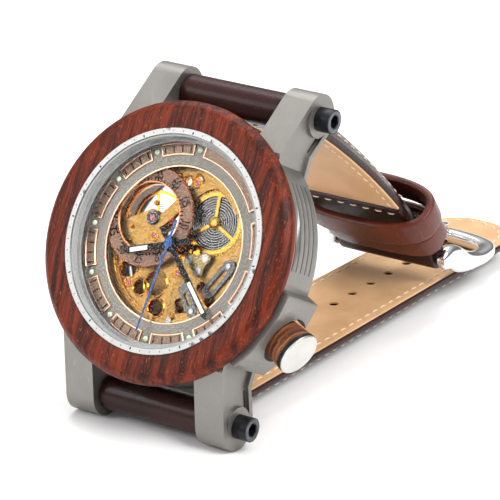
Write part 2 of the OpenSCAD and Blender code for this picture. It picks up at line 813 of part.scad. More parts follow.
module fourth_wheel() {
    color("#d9a441") in_head() {
        translate([0, 0, level_4]) spoked_wheel(fourth_r, 84, 4, 0.7, 0.4, wheel_t, 0);
        translate([0, 0, level_3 - 0.05]) pinion(fourth_pinion_r, 10, wheel_t + 0.1);
        translate([0, 0, bridge_back + 0.1])
            cylinder(r = pivot_r, h = level_4 - bridge_back, $fn = 32);
        translate([0, 0, level_4]) cylinder(r = second_pin_r, h = 1.7 - level_4, $fn = 32);
    }
}

module escape_wheel() {
    n = 15;
    color("#c9ccd0") in_head() at2(escape_c) {
        translate([0, 0, level_5]) linear_extrude(wheel_t) difference() {
            polygon([for (i = [0:n - 1]) for (k = [[0, 1], [0.22, 0.72], [0.8, 0.72]])
                polar(escape_r * k[1], 360 * (i + k[0]) / n)]);
            difference() {
                circle(escape_r * 0.6, $fn = 48);
                circle(0.45, $fn = 32);
                for (i = [0:3]) rotate(90 * i) translate([-0.12, 0]) square([0.24, escape_r]);
            }
        }
        translate([0, 0, level_4 - 0.05]) pinion(escape_pinion_r, 7, wheel_t + 0.1);
        translate([0, 0, bridge_back + 0.1]) cylinder(r = pivot_r, h = plate_z - 0.7 - bridge_back, $fn = 32);
    }
}

module pallet_fork() {
    aim = clock_of(balance_c - pallet_c);
    reach = norm(balance_c - pallet_c) - 0.75;
    span = pallet_lead * 0.62;
    color("#c9ccd0") in_head() at2(pallet_c) {
        translate([0, 0, level_5]) linear_extrude(wheel_t - 0.02) rotate([0, 0, -aim]) {
            translate([-0.16, 0]) square([0.32, reach]);
            translate([-0.4, reach - 0.35]) square([0.2, 0.55]);
            translate([0.2, reach - 0.35]) square([0.2, 0.55]);
            translate([-0.42, reach - 0.55]) square([0.84, 0.25]);
            translate([-span, -0.2]) square([2 * span, 0.4]);
            for (s = [-1, 1]) translate([s * span - 0.15, -0.55]) square([0.3, 0.5]);
            circle(0.4, $fn = 32);
        }
        translate([0, 0, bridge_back + 0.1]) cylinder(r = pivot_r, h = plate_z - 0.7 - bridge_back, $fn = 32);
    }
}

module balance_wheel() {
    color("#e0b04a") in_head() at2(balance_c) {
        translate([0, 0, plate_back - 0.75]) {
            tube(balance_r, balance_r - 0.45, 0.45);
            for (i = [0:2]) rotate([0, 0, 120 * i + 20]) translate([-0.2, 0, 0.1])
                cube([0.4, balance_r - 0.2, 0.2]);
            cylinder(r = 0.5, h = 0.4, $fn = 32);
            for (i = [0:7]) rotate([0, 0, 45 * i + 10]) translate([balance_r - 0.05, 0, 0.22])
                rotate([0, 90, 0]) cylinder(r = 0.16, h = 0.3, $fn = 24);
        }
        translate([0, 0, level_5]) cylinder(r = 0.3, h = wheel_t, $fn = 32);
        translate([0, 0, bridge_back + 0.1]) cylinder(r = pivot_r, h = plate_z - 0.7 - bridge_back, $fn = 32);
    }
}

module hairspring() {
    color("#2f4f7f") in_head() at2(balance_c, plate_back - 1.35) linear_extrude(0.15)
        spiral2(0.6, 2.6, 6, 0.08);
}

module rotor_bearing() {
    color("#8f8f8d") in_head() translate([0, 0, rotor_z + rotor_t - 0.2])
        cylinder(r = 1.1, h = bridge_back - rotor_z - rotor_t + 0.2);
}

module rotor() {
    hub = 1.1;
    color("#c8963a") in_head() translate([0, 0, rotor_z]) {
        ring_sector(rotor_r - 2.6, rotor_r, 180, 360, rotor_t);
        translate([0, 0, rotor_t - 0.45]) linear_extrude(0.4) difference() {
            union() {
                circle(2.6);
                polygon(concat([[0, 0]], arc(rotor_r - 2.5, 180, 360, 24)));
            }
            for (a = [215, 270, 325]) translate(5.6 * [cos(a), sin(a)]) circle(1.7, $fn = 48);
            circle(hub + fit, $fn = 48);
        }
    }
}

// ---------- hands ----------

module baton2(reach, w, tail) {
    polygon([[-w * 0.45, -tail], [w * 0.45, -tail], [w / 2, reach - w], [0, reach], [-w / 2, reach - w]]);
}

module hand(clock, z, t, reach, w, bore, lume_from) {
    translate([0, 0, z]) rotate([0, 0, -clock]) linear_extrude(t) difference() {
        union() {
            baton2(reach, w, hand_tail);
            circle(bore + 0.5, $fn = 48);
        }
        circle(bore, $fn = 32);
        if (lume_from > 0) lume_slot2(reach, w, lume_from);
    }
}

module lume_slot2(reach, w, lume_from) {
    translate([-w * 0.3, lume_from]) square([w * 0.6, reach - w * 1.3 - lume_from]);
}

module hour_hand() {
    color("#141414") in_head() hand(hour_angle, 0.42, 0.2, hour_reach, hour_w, hour_tube_r, 4.4);
}

module hour_lume() {
    color("#f2f3ee") in_head() translate([0, 0, 0.42]) rotate([0, 0, -hour_angle])
        linear_extrude(0.18) lume_slot2(hour_reach, hour_w, 4.4);
}

module minute_hand() {
    color("#141414") in_head() hand(minute_angle, 1.0, 0.2, minute_reach, minute_w, tube_r, 7.4);
}

module minute_lume() {
    color("#f2f3ee") in_head() translate([0, 0, 1.0]) rotate([0, 0, -minute_angle])
        linear_extrude(0.18) lume_slot2(minute_reach, minute_w, 7.4);
}

module second_hand() {
    color("#1f5fa8") in_head() translate([0, 0, 1.5]) rotate([0, 0, -second_angle]) {
        linear_extrude(0.14) {
            polygon([[-second_w / 2, -hand_tail - 0.6], [second_w / 2, -hand_tail - 0.6],
                     [second_w * 0.3, second_reach], [-second_w * 0.3, second_reach]]);
            circle(0.75, $fn = 48);
        }
        translate([0, 0, 0.1]) cylinder(r = 0.4, h = 0.2, $fn = 32);
    }
}

// ---------- crown ----------

crown_root = crown_reach - crown_cap_t - crown_ring_t - crown_grip_l;

module crown_grip() {
    color("#6b3a22") in_head() crown_frame() translate([0, 0, crown_root]) difference() {
        rotate_extrude() polygon([
            [0, 0], [crown_r - 0.75, 0], [crown_r - 0.35, 0.4],
            [crown_r, crown_grip_l], [0, crown_grip_l]
        ]);
        translate([0, 0, -1]) cylinder(r = stem_r, h = 3);
    }
}

module crown_ring() {
    color("#1b1b1c") in_head() crown_frame() translate([0, 0, crown_root + crown_grip_l])
        cylinder(r = crown_r + 0.05, h = crown_ring_t);
}

module crown_cap() {
    color("#d9d9d6") in_head() crown_frame() translate([0, 0, crown_reach - crown_cap_t])
        rotate_extrude() polygon([[0, 0], [crown_r, 0], [crown_r, crown_cap_t - 0.15],
                                  [crown_r - 0.15, crown_cap_t], [0, crown_cap_t]]);
}

stem_in = 8;
stem_groove = 1.6;

module winding_stem() {
    color("#a9abad") in_head() crown_frame() difference() {
        union() {
            translate([0, 0, stem_in]) cylinder(r = stem_r, h = crown_root + 2 - stem_in);
            translate([0, 0, stem_in + 0.3]) cylinder(r = 0.95, h = 0.9);
        }
        translate([0, 0, stem_in + stem_groove]) tube(2, stem_r - 0.15, 0.5);
    }
}

module setting_lever() {
    c = stem_in + stem_groove + 0.25;
    color("#3b3d41") in_head() rotate([0, 0, -crown_angle]) {
        translate([c - 0.18, -0.2, -crown_depth + stem_r - 0.1]) cube([0.36, 0.4, 0.5]);
        translate([c - 0.5, -0.7, -crown_depth + stem_r + 0.35]) cube([1, 1.4, 0.25]);
        translate([c - 0.4, 0.6, -crown_depth + stem_r + 0.35]) cube([0.8, 1.6, 0.25]);
    }
}

// ---------- strap ----------

// Padded section: flat lining side at the top, thin edges, crowned outer side
module padded2(w, t) {
    polygon([
        [-w / 2, t], [-w / 2, t - strap_edge_t], [-w / 2 + 1.6, t - strap_edge_t - (t - strap_edge_t) * 0.6],
        [-w / 2 + 4, 0], [w / 2 - 4, 0],
        [w / 2 - 1.6, t - strap_edge_t - (t - strap_edge_t) * 0.6], [w / 2, t - strap_edge_t], [w / 2, t]
    ]);
}

module long_plan2(inset = 0) {
    w = strap_w - 2 * inset;
    tip_w = strap_w - 1.6 - 2 * inset;
    straight = long_l - tip_w / 2 - inset;
    polygon([[-w / 2, 1.5], [w / 2, 1.5], [tip_w / 2, straight], [-tip_w / 2, straight]]);
    translate([0, straight]) circle(tip_w / 2);
}

module long_holes() {
    for (i = [0:hole_count - 1]) translate([0, first_hole + i * hole_pitch, -1])
        cylinder(r = hole_r, h = strap_t + 3, $fn = 32);
}

module on_long() {
    translate([0, low_bar[1], 0]) children();
}

module strap_long_lining() {
    color("#d9b382") on_long() translate([0, 0, strap_t - lining_t]) difference() {
        linear_extrude(lining_t) intersection() {
            long_plan2(0.15);
            translate([-50, flap_l]) square([100, 200]);
        }
        translate([0, 0, -1]) long_holes();
    }
}

module strap_long_leather() {
    color("#3a1a12") on_long() difference() {
        union() {
            intersection() {
                translate([0, long_l + 5, 0]) rotate([90, 0, 0])
                    linear_extrude(long_l + 5) padded2(strap_w, strap_t);
                linear_extrude(strap_t + 1) long_plan2();
            }
            translate([-strap_w / 2, 0, low_bar[2]]) rotate([0, 90, 0]) cylinder(r = loop_r, h = strap_w);
            translate([-strap_w / 2 + 0.4, 0, strap_t - eps]) cube([strap_w - 0.8, flap_l, bar_lift]);
        }
        translate([-strap_w, 0, low_bar[2]]) rotate([0, 90, 0]) cylinder(r = bar_r + fit, h = 2 * strap_w);
        translate([0, 0, strap_t - lining_t]) linear_extrude(5) intersection() {
            long_plan2(0.15);
            translate([-50, flap_l]) square([100, 200]);
        }
        long_holes();
    }
}

// Part of the short half: a section swept on its arc between two distances from the buckle bar
module short_sweep(s0, s1) {
    a0 = arc_mid - arc_half + s0 / arc_r * 180 / PI;
    a1 = arc_mid - arc_half + s1 / arc_r * 180 / PI;
    translate(arc_c) rotate([0, 90, 0])
        rotate_extrude(start = 90 + a0, angle = a1 - a0, $fn = 360) children();
}

arc_l = 2 * arc_half * PI / 180 * arc_r;

module short_section2(w) {
    translate([arc_r + short_out, 0]) rotate([0, 0, 90]) padded2(w, strap_t);
}

module strap_short_lining() {
    color("#d9b382") short_sweep(buckle_flap_l, arc_l - flap_l)
        translate([arc_r - short_in, -strap_w / 2 + 0.15]) square([lining_t, strap_w - 0.3]);
}

module strap_short_leather() {
    color("#3a1a12") difference() {
        union() {
            short_sweep(1.6, arc_l - 1.6) short_section2(strap_w);
            short_sweep(1, arc_l * 0.1) translate([arc_r - short_in - bar_lift, -strap_w / 2 + 0.4])
                square([bar_lift + eps, strap_w - 0.8]);
            short_sweep(1, buckle_flap_l) translate([arc_r - short_in - bar_lift, -strap_w / 2 + 0.4])
                square([bar_lift + eps, strap_w - 0.8]);
            short_sweep(arc_l - flap_l, arc_l - 1)
                translate([arc_r - short_in - bar_lift, -strap_w / 2 + 0.4])
                square([bar_lift + eps, strap_w - 0.8]);
            translate(high_bar) translate([-strap_w / 2, 0, 0]) rotate([0, 90, 0])
                cylinder(r = loop_r, h = strap_w);
            translate(buckle_axis) translate([-strap_w / 2, 0, 0]) rotate([0, 90, 0])
                cylinder(r = buckle_loop_r, h = strap_w);
        }
        translate(high_bar) translate([-strap_w, 0, 0]) rotate([0, 90, 0])
            cylinder(r = bar_r + fit, h = 2 * strap_w);
        translate(buckle_axis) translate([-strap_w, 0, 0]) rotate([0, 90, 0])
            cylinder(r = buckle_bar_r + fit, h = 2 * strap_w);
        on_short(0) translate([-tang_w / 2 - 0.5, -10, -4]) cube([tang_w + 1, 20, 7.2]);
        short_sweep(buckle_flap_l, arc_l - flap_l)
            translate([arc_r - short_in - 1, -strap_w / 2 + 0.15]) square([lining_t + 1, strap_w - 0.3]);
    }
}

// ---------- keepers ----------

module round_rect2(w, h, r) {
    square([w - 2 * r, h], center = true);
    square([w, h - 2 * r], center = true);
    for (sx = [-1, 1]) for (sy = [-1, 1]) translate([sx * (w / 2 - r), sy * (h / 2 - r)]) circle(r, $fn = 32);
}

module keeper(room, w, tall) {
    inner_w = strap_w + 2 * room;
    inner_h = strap_t + bar_lift + tall;
    linear_extrude(w) difference() {
        round_rect2(inner_w + 2 * keeper_t, inner_h + 2 * keeper_t, 2.6);
        round_rect2(inner_w, inner_h, 1.4);
    }
}

keeper_mid = (short_out - short_in - bar_lift) / 2;

module fixed_keeper() {
    color("#45211a") on_short(fixed_keeper_s) translate([0, keeper_mid, 0])
        keeper(fixed_keeper_room, keeper_w - 0.5, 0.6);
}

module free_keeper() {
    color("#45211a") on_short(free_keeper_s) translate([0, keeper_mid - 0.4, 0])
        rotate([-8, 0, 0]) keeper(free_keeper_room, keeper_w, 3.4);
}

// ---------- buckle ----------

frame_bottom = strap_t + 0.08;

module frame_plan2() {
    back = -2.1;
    outer = buckle_half_w;
    inner = buckle_half_w - buckle_arm_w;
    front_r = (outer * outer + buckle_bow * buckle_bow) / (2 * buckle_bow);
    hole_l = buckle_l - 2.4;
    hole_r2 = (inner * inner + 2 * 2) / (2 * 2);
    difference() {
        union() {
            translate([-outer, back]) square([2 * outer, buckle_l - back]);
            intersection() {
                translate([0, buckle_l + buckle_bow - front_r]) circle(front_r, $fn = 180);
                translate([-outer, 0]) square([2 * outer, buckle_l + buckle_bow]);
            }
        }
        translate([-inner, back - 1]) square([2 * inner, hole_l - back + 1]);
        intersection() {
            translate([0, hole_l + 2 - hole_r2]) circle(hole_r2, $fn = 180);
            translate([-inner, 0]) square([2 * inner, hole_l + 2]);
        }
        for (s = [-1, 1]) translate([s * outer, buckle_l]) rotate([0, 0, 45])
            square(2, center = true);
    }
}

// Side outline of the frame in (y, z) round the buckle bar
module frame_side2() {
    low = frame_bottom - buckle_axis[2];
    polygon([[-2.1, -1], [-0.8, -2], [4, low + 0.5], [buckle_l, low], [buckle_l + buckle_bow, low],
             [buckle_l + buckle_bow, low + buckle_tip_h], [buckle_l * 0.6, low + buckle_tip_h + 0.4],
             [1.5, buckle_h - 2], [-1, buckle_h - 2.2], [-2.1, 1]]);
}

module buckle_frame() {
    color("#d4d5d6") translate(buckle_axis) difference() {
        intersection() {
            translate([0, 0, -10]) linear_extrude(20) frame_plan2();
            translate([-20, 0, 0]) rotate([90, 0, 90]) linear_extrude(40) frame_side2();
        }
        translate([-buckle_half_w + 0.6, 0, 0]) rotate([0, 90, 0])
            cylinder(r = buckle_bar_r, h = 2 * buckle_half_w - 1.2);
    }
}

module buckle_bar() {
    color("#b9babb") translate(buckle_axis) translate([-buckle_half_w + 0.6, 0, 0]) rotate([0, 90, 0])
        cylinder(r = buckle_bar_r, h = 2 * buckle_half_w - 1.2);
}

module buckle_tang() {
    rest_z = frame_bottom - buckle_axis[2] + buckle_tip_h + 0.5;
    reach = buckle_l + buckle_bow - 0.4;
    color("#cfd0d1") translate(buckle_axis) difference() {
        union() {
            translate([-tang_w / 2, 0, 0]) rotate([90, 0, 90]) linear_extrude(tang_w)
                polygon([[0, 0.4], [reach, rest_z], [reach, rest_z + tang_t * 0.8],
                         [reach * 0.7, rest_z + tang_t * 1.2], [0, 1.7]]);
            translate([-tang_w / 2, 0, 0]) rotate([0, 90, 0]) cylinder(r = 1.7, h = tang_w);
        }
        translate([-5, 0, 0]) rotate([0, 90, 0]) cylinder(r = buckle_bar_r + fit, h = 10);
    }
}

case_middle();
crown_tube();
wood_bezel();
rehaut_ring();
crystal();
crystal_gasket();
dial();
dial_placards();
lume_dots();
subdial_ring();
movement_ring();
case_back();
back_glass();
back_gasket();
lug_screws();
main_plate();
barrel_bridge();
train_bridge();
balance_cock();
jewels();
movement_screws();
minute_cover();
setting_spring();
yoke_spring();
rotor_bearing();
hairspring();
crown_grip();
crown_ring();
crown_cap();
winding_stem();
setting_lever();
barrel_drum();
mainspring();
center_wheel();
minute_hand();
minute_lume();
hour_wheel();
hour_hand();
hour_lume();
minute_wheel();
third_wheel();
fourth_wheel();
second_hand();
escape_wheel();
pallet_fork();
balance_wheel();
rotor();
strap_long_leather();
strap_long_lining();
strap_short_leather();
strap_short_lining();
fixed_keeper();
free_keeper();
buckle_frame();
buckle_bar();
buckle_tang();
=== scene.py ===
"""Skeleton wristwatch with a wooden bezel: finishes, leather, stitching and fine detail."""
import math
import random

import bmesh
import bpy
from mathutils import Matrix, Vector


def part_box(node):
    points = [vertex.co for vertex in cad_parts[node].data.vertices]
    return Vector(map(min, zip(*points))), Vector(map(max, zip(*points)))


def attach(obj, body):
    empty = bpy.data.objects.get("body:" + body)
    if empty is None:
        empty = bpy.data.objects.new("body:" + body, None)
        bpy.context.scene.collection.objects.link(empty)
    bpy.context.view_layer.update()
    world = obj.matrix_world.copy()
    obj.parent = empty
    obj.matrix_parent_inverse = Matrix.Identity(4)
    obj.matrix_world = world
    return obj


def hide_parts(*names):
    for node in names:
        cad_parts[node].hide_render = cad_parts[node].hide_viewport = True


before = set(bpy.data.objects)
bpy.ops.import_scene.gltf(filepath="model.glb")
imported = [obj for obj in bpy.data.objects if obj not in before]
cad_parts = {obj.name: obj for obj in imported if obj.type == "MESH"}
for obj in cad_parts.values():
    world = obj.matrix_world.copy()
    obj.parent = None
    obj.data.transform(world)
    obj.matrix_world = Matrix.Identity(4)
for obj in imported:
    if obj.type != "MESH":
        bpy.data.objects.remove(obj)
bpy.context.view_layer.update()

bl_info = {
    "name": "Skeleton wristwatch",
    "version": (1, 0, 0),
    "blender": (4, 5, 0),
    "location": "3D View > Sidebar > Wristwatch",
    "description": "Builds the wristwatch's finishes, strap, keepers, buckle and dial detail",
    "category": "Object",
}

MM = 0.001
X_AXIS = Vector((1, 0, 0))

# ---------- places taken from the frame ----------

HEAD_PITCH = math.radians(62.8)
CRYSTAL_MID = 2.55
_crystal = [sum(pair) / 2 / MM for pair in zip(*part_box("crystal"))]
HEAD_Z = _crystal[2] - CRYSTAL_MID * math.cos(HEAD_PITCH)
HEAD = Matrix.Translation((0, 0, HEAD_Z)) @ Matrix.Rotation(HEAD_PITCH, 4, "X")
DIAL_TURN = math.radians(1.6)
BALANCE = Vector((-6.1, 3.4, 0))
PLATE_IN, PLATE_MID, PLATE_OUT = 14.2, 15.2, 16.2
BAR_Y, BAR_DEPTH = 24.7, 7.9
LOW_BAR = HEAD @ Vector((0, -BAR_Y, -BAR_DEPTH))
HIGH_BAR = HEAD @ Vector((0, BAR_Y, -BAR_DEPTH))
SCREW_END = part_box("lug_screws")[1][0] / MM
CROWN_ANGLE = math.radians(26)
CROWN = (HEAD @ Matrix.Rotation(-CROWN_ANGLE, 4, "Z") @ Matrix.Translation((0, 0, -5.4))
         @ Matrix.Rotation(math.pi / 2, 4, "Y"))

# ---------- the view, in metres, and its lens in millimetres ----------

VIEW_PLACE = (0.2894, -0.4033, 0.2159)
VIEW_RIGHT = Vector((0.826, 0.564, 0.0))
VIEW_FORWARD = Vector((-0.527, 0.773, -0.353))
VIEW_LENS = 245.3

# ---------- strap sizes, in millimetres ----------

STRAP_W, STRAP_T, EDGE_T, LINING_T = 19.2, 4.6, 1.2, 0.35
LONG_L, TIP_W = 100.0, 17.6
FIRST_HOLE, HOLE_PITCH, HOLE_COUNT, HOLE_R = 50.5, 5.8, 7, 0.85
LUG_FLAP, BUCKLE_FLAP, FLAP_T = 12.0, 18.0, 0.38
LUG_LOOP_R, BUCKLE_LOOP_R = 2.9, 2.1
SHORT_L, SHORT_BOW, SHORT_DROP, SHORT_IN = 60.2, 2.5, math.radians(39.9), 0.9
BUCKLE_AXIS = HIGH_BAR + Vector((0, SHORT_L * math.cos(SHORT_DROP), -SHORT_L * math.sin(SHORT_DROP)))
ARC_R = SHORT_L * SHORT_L / (8 * SHORT_BOW) + SHORT_BOW / 2
ARC_HALF = math.asin(SHORT_L / 2 / ARC_R)
ARC_MID = math.pi / 2 - SHORT_DROP
ARC_C = (HIGH_BAR + BUCKLE_AXIS) / 2 - (ARC_R - SHORT_BOW) * Vector((0, math.cos(ARC_MID), math.sin(ARC_MID)))
ARC_L = 2 * ARC_HALF * ARC_R
STITCH_RINGS, STITCH_SIDES = 7, 8


def polar(r, clock):
    """Point at a radius and a clockwise angle from 12, in the head's plane."""
    return Vector((r * math.sin(clock), r * math.cos(clock), 0))


def smooth(t):
    t = min(1.0, max(0.0, t))
    return t * t * (3 - 2 * t)


# ---------- meshes ----------

def put(name, verts, faces, mats, body, slot, place=None, face_mats=None, sharp=35):
    """A mesh piece from points in millimetres, riding on a body."""
    place = place or Matrix.Identity(4)
    mesh = bpy.data.meshes.new(name)
    mesh.from_pydata([tuple((place @ Vector(v)) * MM) for v in verts], [], faces)
    for m in mats if isinstance(mats, (list, tuple)) else [mats]:
        mesh.materials.append(m)
    if face_mats:
        for poly, index in zip(mesh.polygons, face_mats):
            poly.material_index = index
    bm = bmesh.new()
    bm.from_mesh(mesh)
    bmesh.ops.remove_doubles(bm, verts=bm.verts, dist=1e-8)
    bmesh.ops.recalc_face_normals(bm, faces=bm.faces)
    bm.to_mesh(mesh)
    bm.free()
    mesh.shade_smooth()
    mesh.set_sharp_from_angle(angle=math.radians(sharp))
    obj = bpy.data.objects.new(name, mesh)
    bpy.context.scene.collection.objects.link(obj)
    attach(obj, body)
    return obj


def rounded(points, radius, steps=4):
    """A closed outline with its corners rounded; radius is one value or one for each corner."""
    out = []
    count = len(points)
    for i, p in enumerate(points):
        p = Vector(p)
        before, after = Vector(points[i - 1]), Vector(points[(i + 1) % count])
        r = radius[i] if isinstance(radius, (list, tuple)) else radius
        reach = min(r, (before - p).length * 0.48, (after - p).length * 0.48)
        if reach <= 1e-6:
            out.append(tuple(p))
            continue
        a = p + (before - p).normalized() * reach
        b = p + (after - p).normalized() * reach
        for k in range(steps + 1):
            t = k / steps
            out.append(tuple(a * (1 - t) ** 2 + p * 2 * t * (1 - t) + b * t * t))
    return out


def lathe(profile, segments=160):
    """Turned solid from a closed (r, z) outline. Points on the axis share one vertex."""
    verts, rings = [], []
    for r, z in profile:
        if r < 1e-6:
            rings.append([len(verts)] * segments)
            verts.append((0, 0, z))
        else:
            rings.append(list(range(len(verts), len(verts) + segments)))
            verts += [(r * math.cos(2 * math.pi * i / segments), r * math.sin(2 * math.pi * i / segments), z)
                      for i in range(segments)]
    faces = []
    for k, ring in enumerate(rings):
        after = rings[(k + 1) % len(rings)]
        for i in range(segments):
            j = (i + 1) % segments
            quad = []
            for v in (ring[i], ring[j], after[j], after[i]):
                if v not in quad:
                    quad.append(v)
            if len(quad) > 2:
                faces.append(tuple(quad))
    return verts, faces


def skin(rings, closed=False):
    """Faces over rings of equal length; the ends are capped unless the rings form a loop."""
    count = len(rings[0])
    verts = [v for ring in rings for v in ring]
    faces = []
    for k in range(len(rings) if closed else len(rings) - 1):
        a, b = k * count, ((k + 1) % len(rings)) * count
        for i in range(count):
            j = (i + 1) % count
            faces.append((a + i, a + j, b + j, b + i))
    if not closed:
        faces.append(tuple(range(count)))
        faces.append(tuple(range((len(rings) - 1) * count, len(rings) * count))[::-1])
    return verts, faces


def joined(parts):
    """Several (verts, faces) as one."""
    verts, faces = [], []
    for v, f in parts:
        base = len(verts)
        verts += v
        faces += [tuple(i + base for i in face) for face in f]
    return verts, faces


def moved(part, place):
    verts, faces = part
    return [tuple(place @ Vector(v)) for v in verts], faces


def bar_block(w, l, h, bevel=0.03):
    """A small bar with bevelled top edges, standing on z = 0 and centred in x and y."""
    low = [(-w / 2, -l / 2, 0), (w / 2, -l / 2, 0), (w / 2, l / 2, 0), (-w / 2, l / 2, 0)]
    mid = [(x, y, h - bevel) for x, y, _ in low]
    top = [(x - math.copysign(bevel, x), y - math.copysign(bevel, y), h) for x, y, _ in low]
    return skin([low, mid, top])


def superellipse(a, b, power, count, t0=0.0):
    out = []
    for i in range(count):
        t = t0 + 2 * math.pi * i / count
        c, s = math.cos(t), math.sin(t)
        out.append((a * math.copysign(abs(c) ** (2 / power), c), b * math.copysign(abs(s) ** (2 / power), s)))
    return out


def spline(points, count):
    """Catmull-Rom samples through points of any dimension."""
    pts = [Vector(p) for p in points]
    out = []
    for i in range(count):
        t = i / (count - 1) * (len(pts) - 1)
        k = min(int(t), len(pts) - 2)
        u = t - k
        p0, p1, p2, p3 = pts[max(k - 1, 0)], pts[k], pts[k + 1], pts[min(k + 2, len(pts) - 1)]
        out.append(0.5 * (2 * p1 + (p2 - p0) * u + (2 * p0 - 5 * p1 + 4 * p2 - p3) * u ** 2
                          + (3 * p1 - p0 - 3 * p2 + p3) * u ** 3))
    return out


# ---------- node groups and materials ----------

class Tree:
    """Short calls for filling a node tree."""

    def __init__(self, tree):
        self.tree = tree

    def add(self, kind, props=None, **inputs):
        node = self.tree.nodes.new(kind)
        for key, value in (props or {}).items():
            setattr(node, key, value)
        for key, value in inputs.items():
            self.set(node, key.replace("_", " "), value)
        return node

    def set(self, node, key, value):
        socket = node.inputs[int(key[1:])] if key[0] == "#" else node.inputs[key]
        if isinstance(value, bpy.types.NodeSocket):
            self.tree.links.new(value, socket)
        else:
            socket.default_value = value

    def math(self, operation, a, b=None, clamp=False):
        node = self.add("ShaderNodeMath", {"operation": operation, "use_clamp": clamp})
        self.set(node, "#0", a)
        if b is not None:
            self.set(node, "#1", b)
        return node.outputs[0]

    def mix(self, fac, a, b, blend="MIX"):
        node = self.add("ShaderNodeMix", {"data_type": "RGBA", "blend_type": blend})
        for key, value in (("#0", fac), ("#6", a), ("#7", b)):
            self.set(node, key, value)
        return node.outputs[2]

    def ramp(self, fac, low, high):
        node = self.add("ShaderNodeMapRange", {"interpolation_type": "SMOOTHSTEP"})
        for key, value in (("Value", fac), ("From Min", low), ("From Max", high)):
            self.set(node, key, value)
        return node.outputs["Result"]

    def noise(self, vector, scale, detail=3.0, rough=0.55, distortion=0.0):
        node = self.add("ShaderNodeTexNoise", None, Scale=scale, Detail=detail, Roughness=rough,
                        Distortion=distortion)
        self.set(node, "Vector", vector)
        return node.outputs["Fac"]

    def stretch(self, vector, scale):
        node = self.add("ShaderNodeVectorMath", {"operation": "MULTIPLY"})
        self.set(node, "#0", vector)
        self.set(node, "#1", scale)
        return node.outputs[0]

    def values(self, vector, value):
        """A vector times one value socket."""
        node = self.add("ShaderNodeVectorMath", {"operation": "SCALE"})
        self.set(node, "#0", vector)
        self.set(node, "Scale", value)
        return node.outputs[0]


def group(name, inputs, outputs, fill):
    """A shader node group with named sockets, built once."""
    tree = bpy.data.node_groups.new(name, "ShaderNodeTree")
    for label, kind, default in inputs:
        socket = tree.interface.new_socket(name=label, in_out="INPUT", socket_type="NodeSocket" + kind)
        if default is not None:
            socket.default_value = default
    for label, kind in outputs:
        tree.interface.new_socket(name=label, in_out="OUTPUT", socket_type="NodeSocket" + kind)
    t = Tree(tree)
    source = tree.nodes.new("NodeGroupInput").outputs
    sink = tree.nodes.new("NodeGroupOutput")
    for label, value in fill(t, source).items():
        t.set(sink, label, value)
    return tree


def fill_surface(t, i):
    """Slow cloudy variation in colour and roughness, with a fine height."""
    cloud = t.ramp(t.noise(t.values(i["Vector"], i["Cloud Scale"]), 1.0, 4.0), 0.3, 0.7)
    fine = t.noise(t.values(i["Vector"], i["Grain Scale"]), 1.0, 2.0, 0.6)
    rough = t.math("ADD", i["Roughness"],
                   t.math("MULTIPLY", t.math("SUBTRACT", cloud, 0.5), i["Roughness Spread"]))
    speck = t.ramp(fine, 0.35, 0.65)
    colour = t.mix(t.math("ADD", t.math("MULTIPLY", cloud, 0.6), t.math("MULTIPLY", speck, 0.4)),
                   i["Colour 1"], i["Colour 2"])
    return {"Colour": colour, "Roughness": rough, "Height": fine}


def fill_wood(t, i):
    """Long streaks, dark pores and short bright flecks along Y; the bright flecks are painted highlights,
    glints of light on the grain.
    """
    v = i["Vector"]
    warp = t.noise(t.stretch(v, (0.16, 0.05, 0.16)), 1.0, 2.0)
    bent = t.add("ShaderNodeVectorMath", {"operation": "ADD"})
    shift = t.add("ShaderNodeCombineXYZ")
    t.set(shift, "X", t.math("MULTIPLY", t.math("SUBTRACT", warp, 0.5), 5.0))
    t.set(bent, "#0", v)
    t.set(bent, "#1", shift.outputs[0])
    v = bent.outputs[0]
    band = t.noise(t.stretch(v, (0.75, 0.03, 0.75)), 1.0, 6.0, 0.66)
    streak = t.noise(t.stretch(v, (3.2, 0.09, 3.2)), 1.0, 5.0, 0.62)
    pore = t.noise(t.stretch(v, (7.5, 0.42, 7.5)), 1.0, 2.0, 0.5)
    # Painted highlight: short bright orange flecks that stand in for glints of light on the grain.
    fleck = t.noise(t.stretch(v, (5.0, 0.9, 5.0)), 1.3, 2.0, 0.5)
    colour = t.mix(t.ramp(band, 0.36, 0.66), i["Dark"], i["Light"])
    colour = t.mix(t.math("MULTIPLY", t.ramp(streak, 0.5, 0.7), 0.62), colour, i["Dark"])
    # Lays the painted highlight colour over the grain.
    colour = t.mix(t.math("MULTIPLY", t.ramp(fleck, 0.6, 0.74), 0.55), colour, i["Fleck"])
    pores = t.ramp(pore, 0.6, 0.72)
    colour = t.mix(t.math("MULTIPLY", pores, 0.55), colour, i["Dark"])
    rough = t.math("ADD", i["Roughness"], t.math("MULTIPLY", pores, 0.2))
    height = t.math("SUBTRACT", t.math("MULTIPLY", streak, 0.35), pores)
    return {"Colour": colour, "Roughness": rough, "Height": height}


def fill_leather(t, i):
    """Fine pebble with a few creases and darker hollows."""
    v = t.values(i["Vector"], i["Scale"])
    cell = t.add("ShaderNodeTexVoronoi", {"feature": "DISTANCE_TO_EDGE"}, Scale=1.0)
    t.set(cell, "Vector", v)
    pebble = t.ramp(cell.outputs["Distance"], 0.0, 0.35)
    crease = t.noise(v, 0.13, 4.0, 0.6, 1.2)
    cloud = t.ramp(t.noise(v, 0.05, 3.0), 0.3, 0.7)
    colour = t.mix(cloud, i["Colour 1"], i["Colour 2"])
    colour = t.mix(t.math("MULTIPLY", t.math("SUBTRACT", 1.0, pebble), 0.35), colour, i["Colour 1"])
    rough = t.math("ADD", i["Roughness"], t.math("MULTIPLY", t.math("SUBTRACT", cloud, 0.5), 0.16))
    height = t.math("ADD", t.math("MULTIPLY", pebble, 0.5), t.math("MULTIPLY", crease, 1.4))
    return {"Colour": colour, "Roughness": rough, "Height": height}


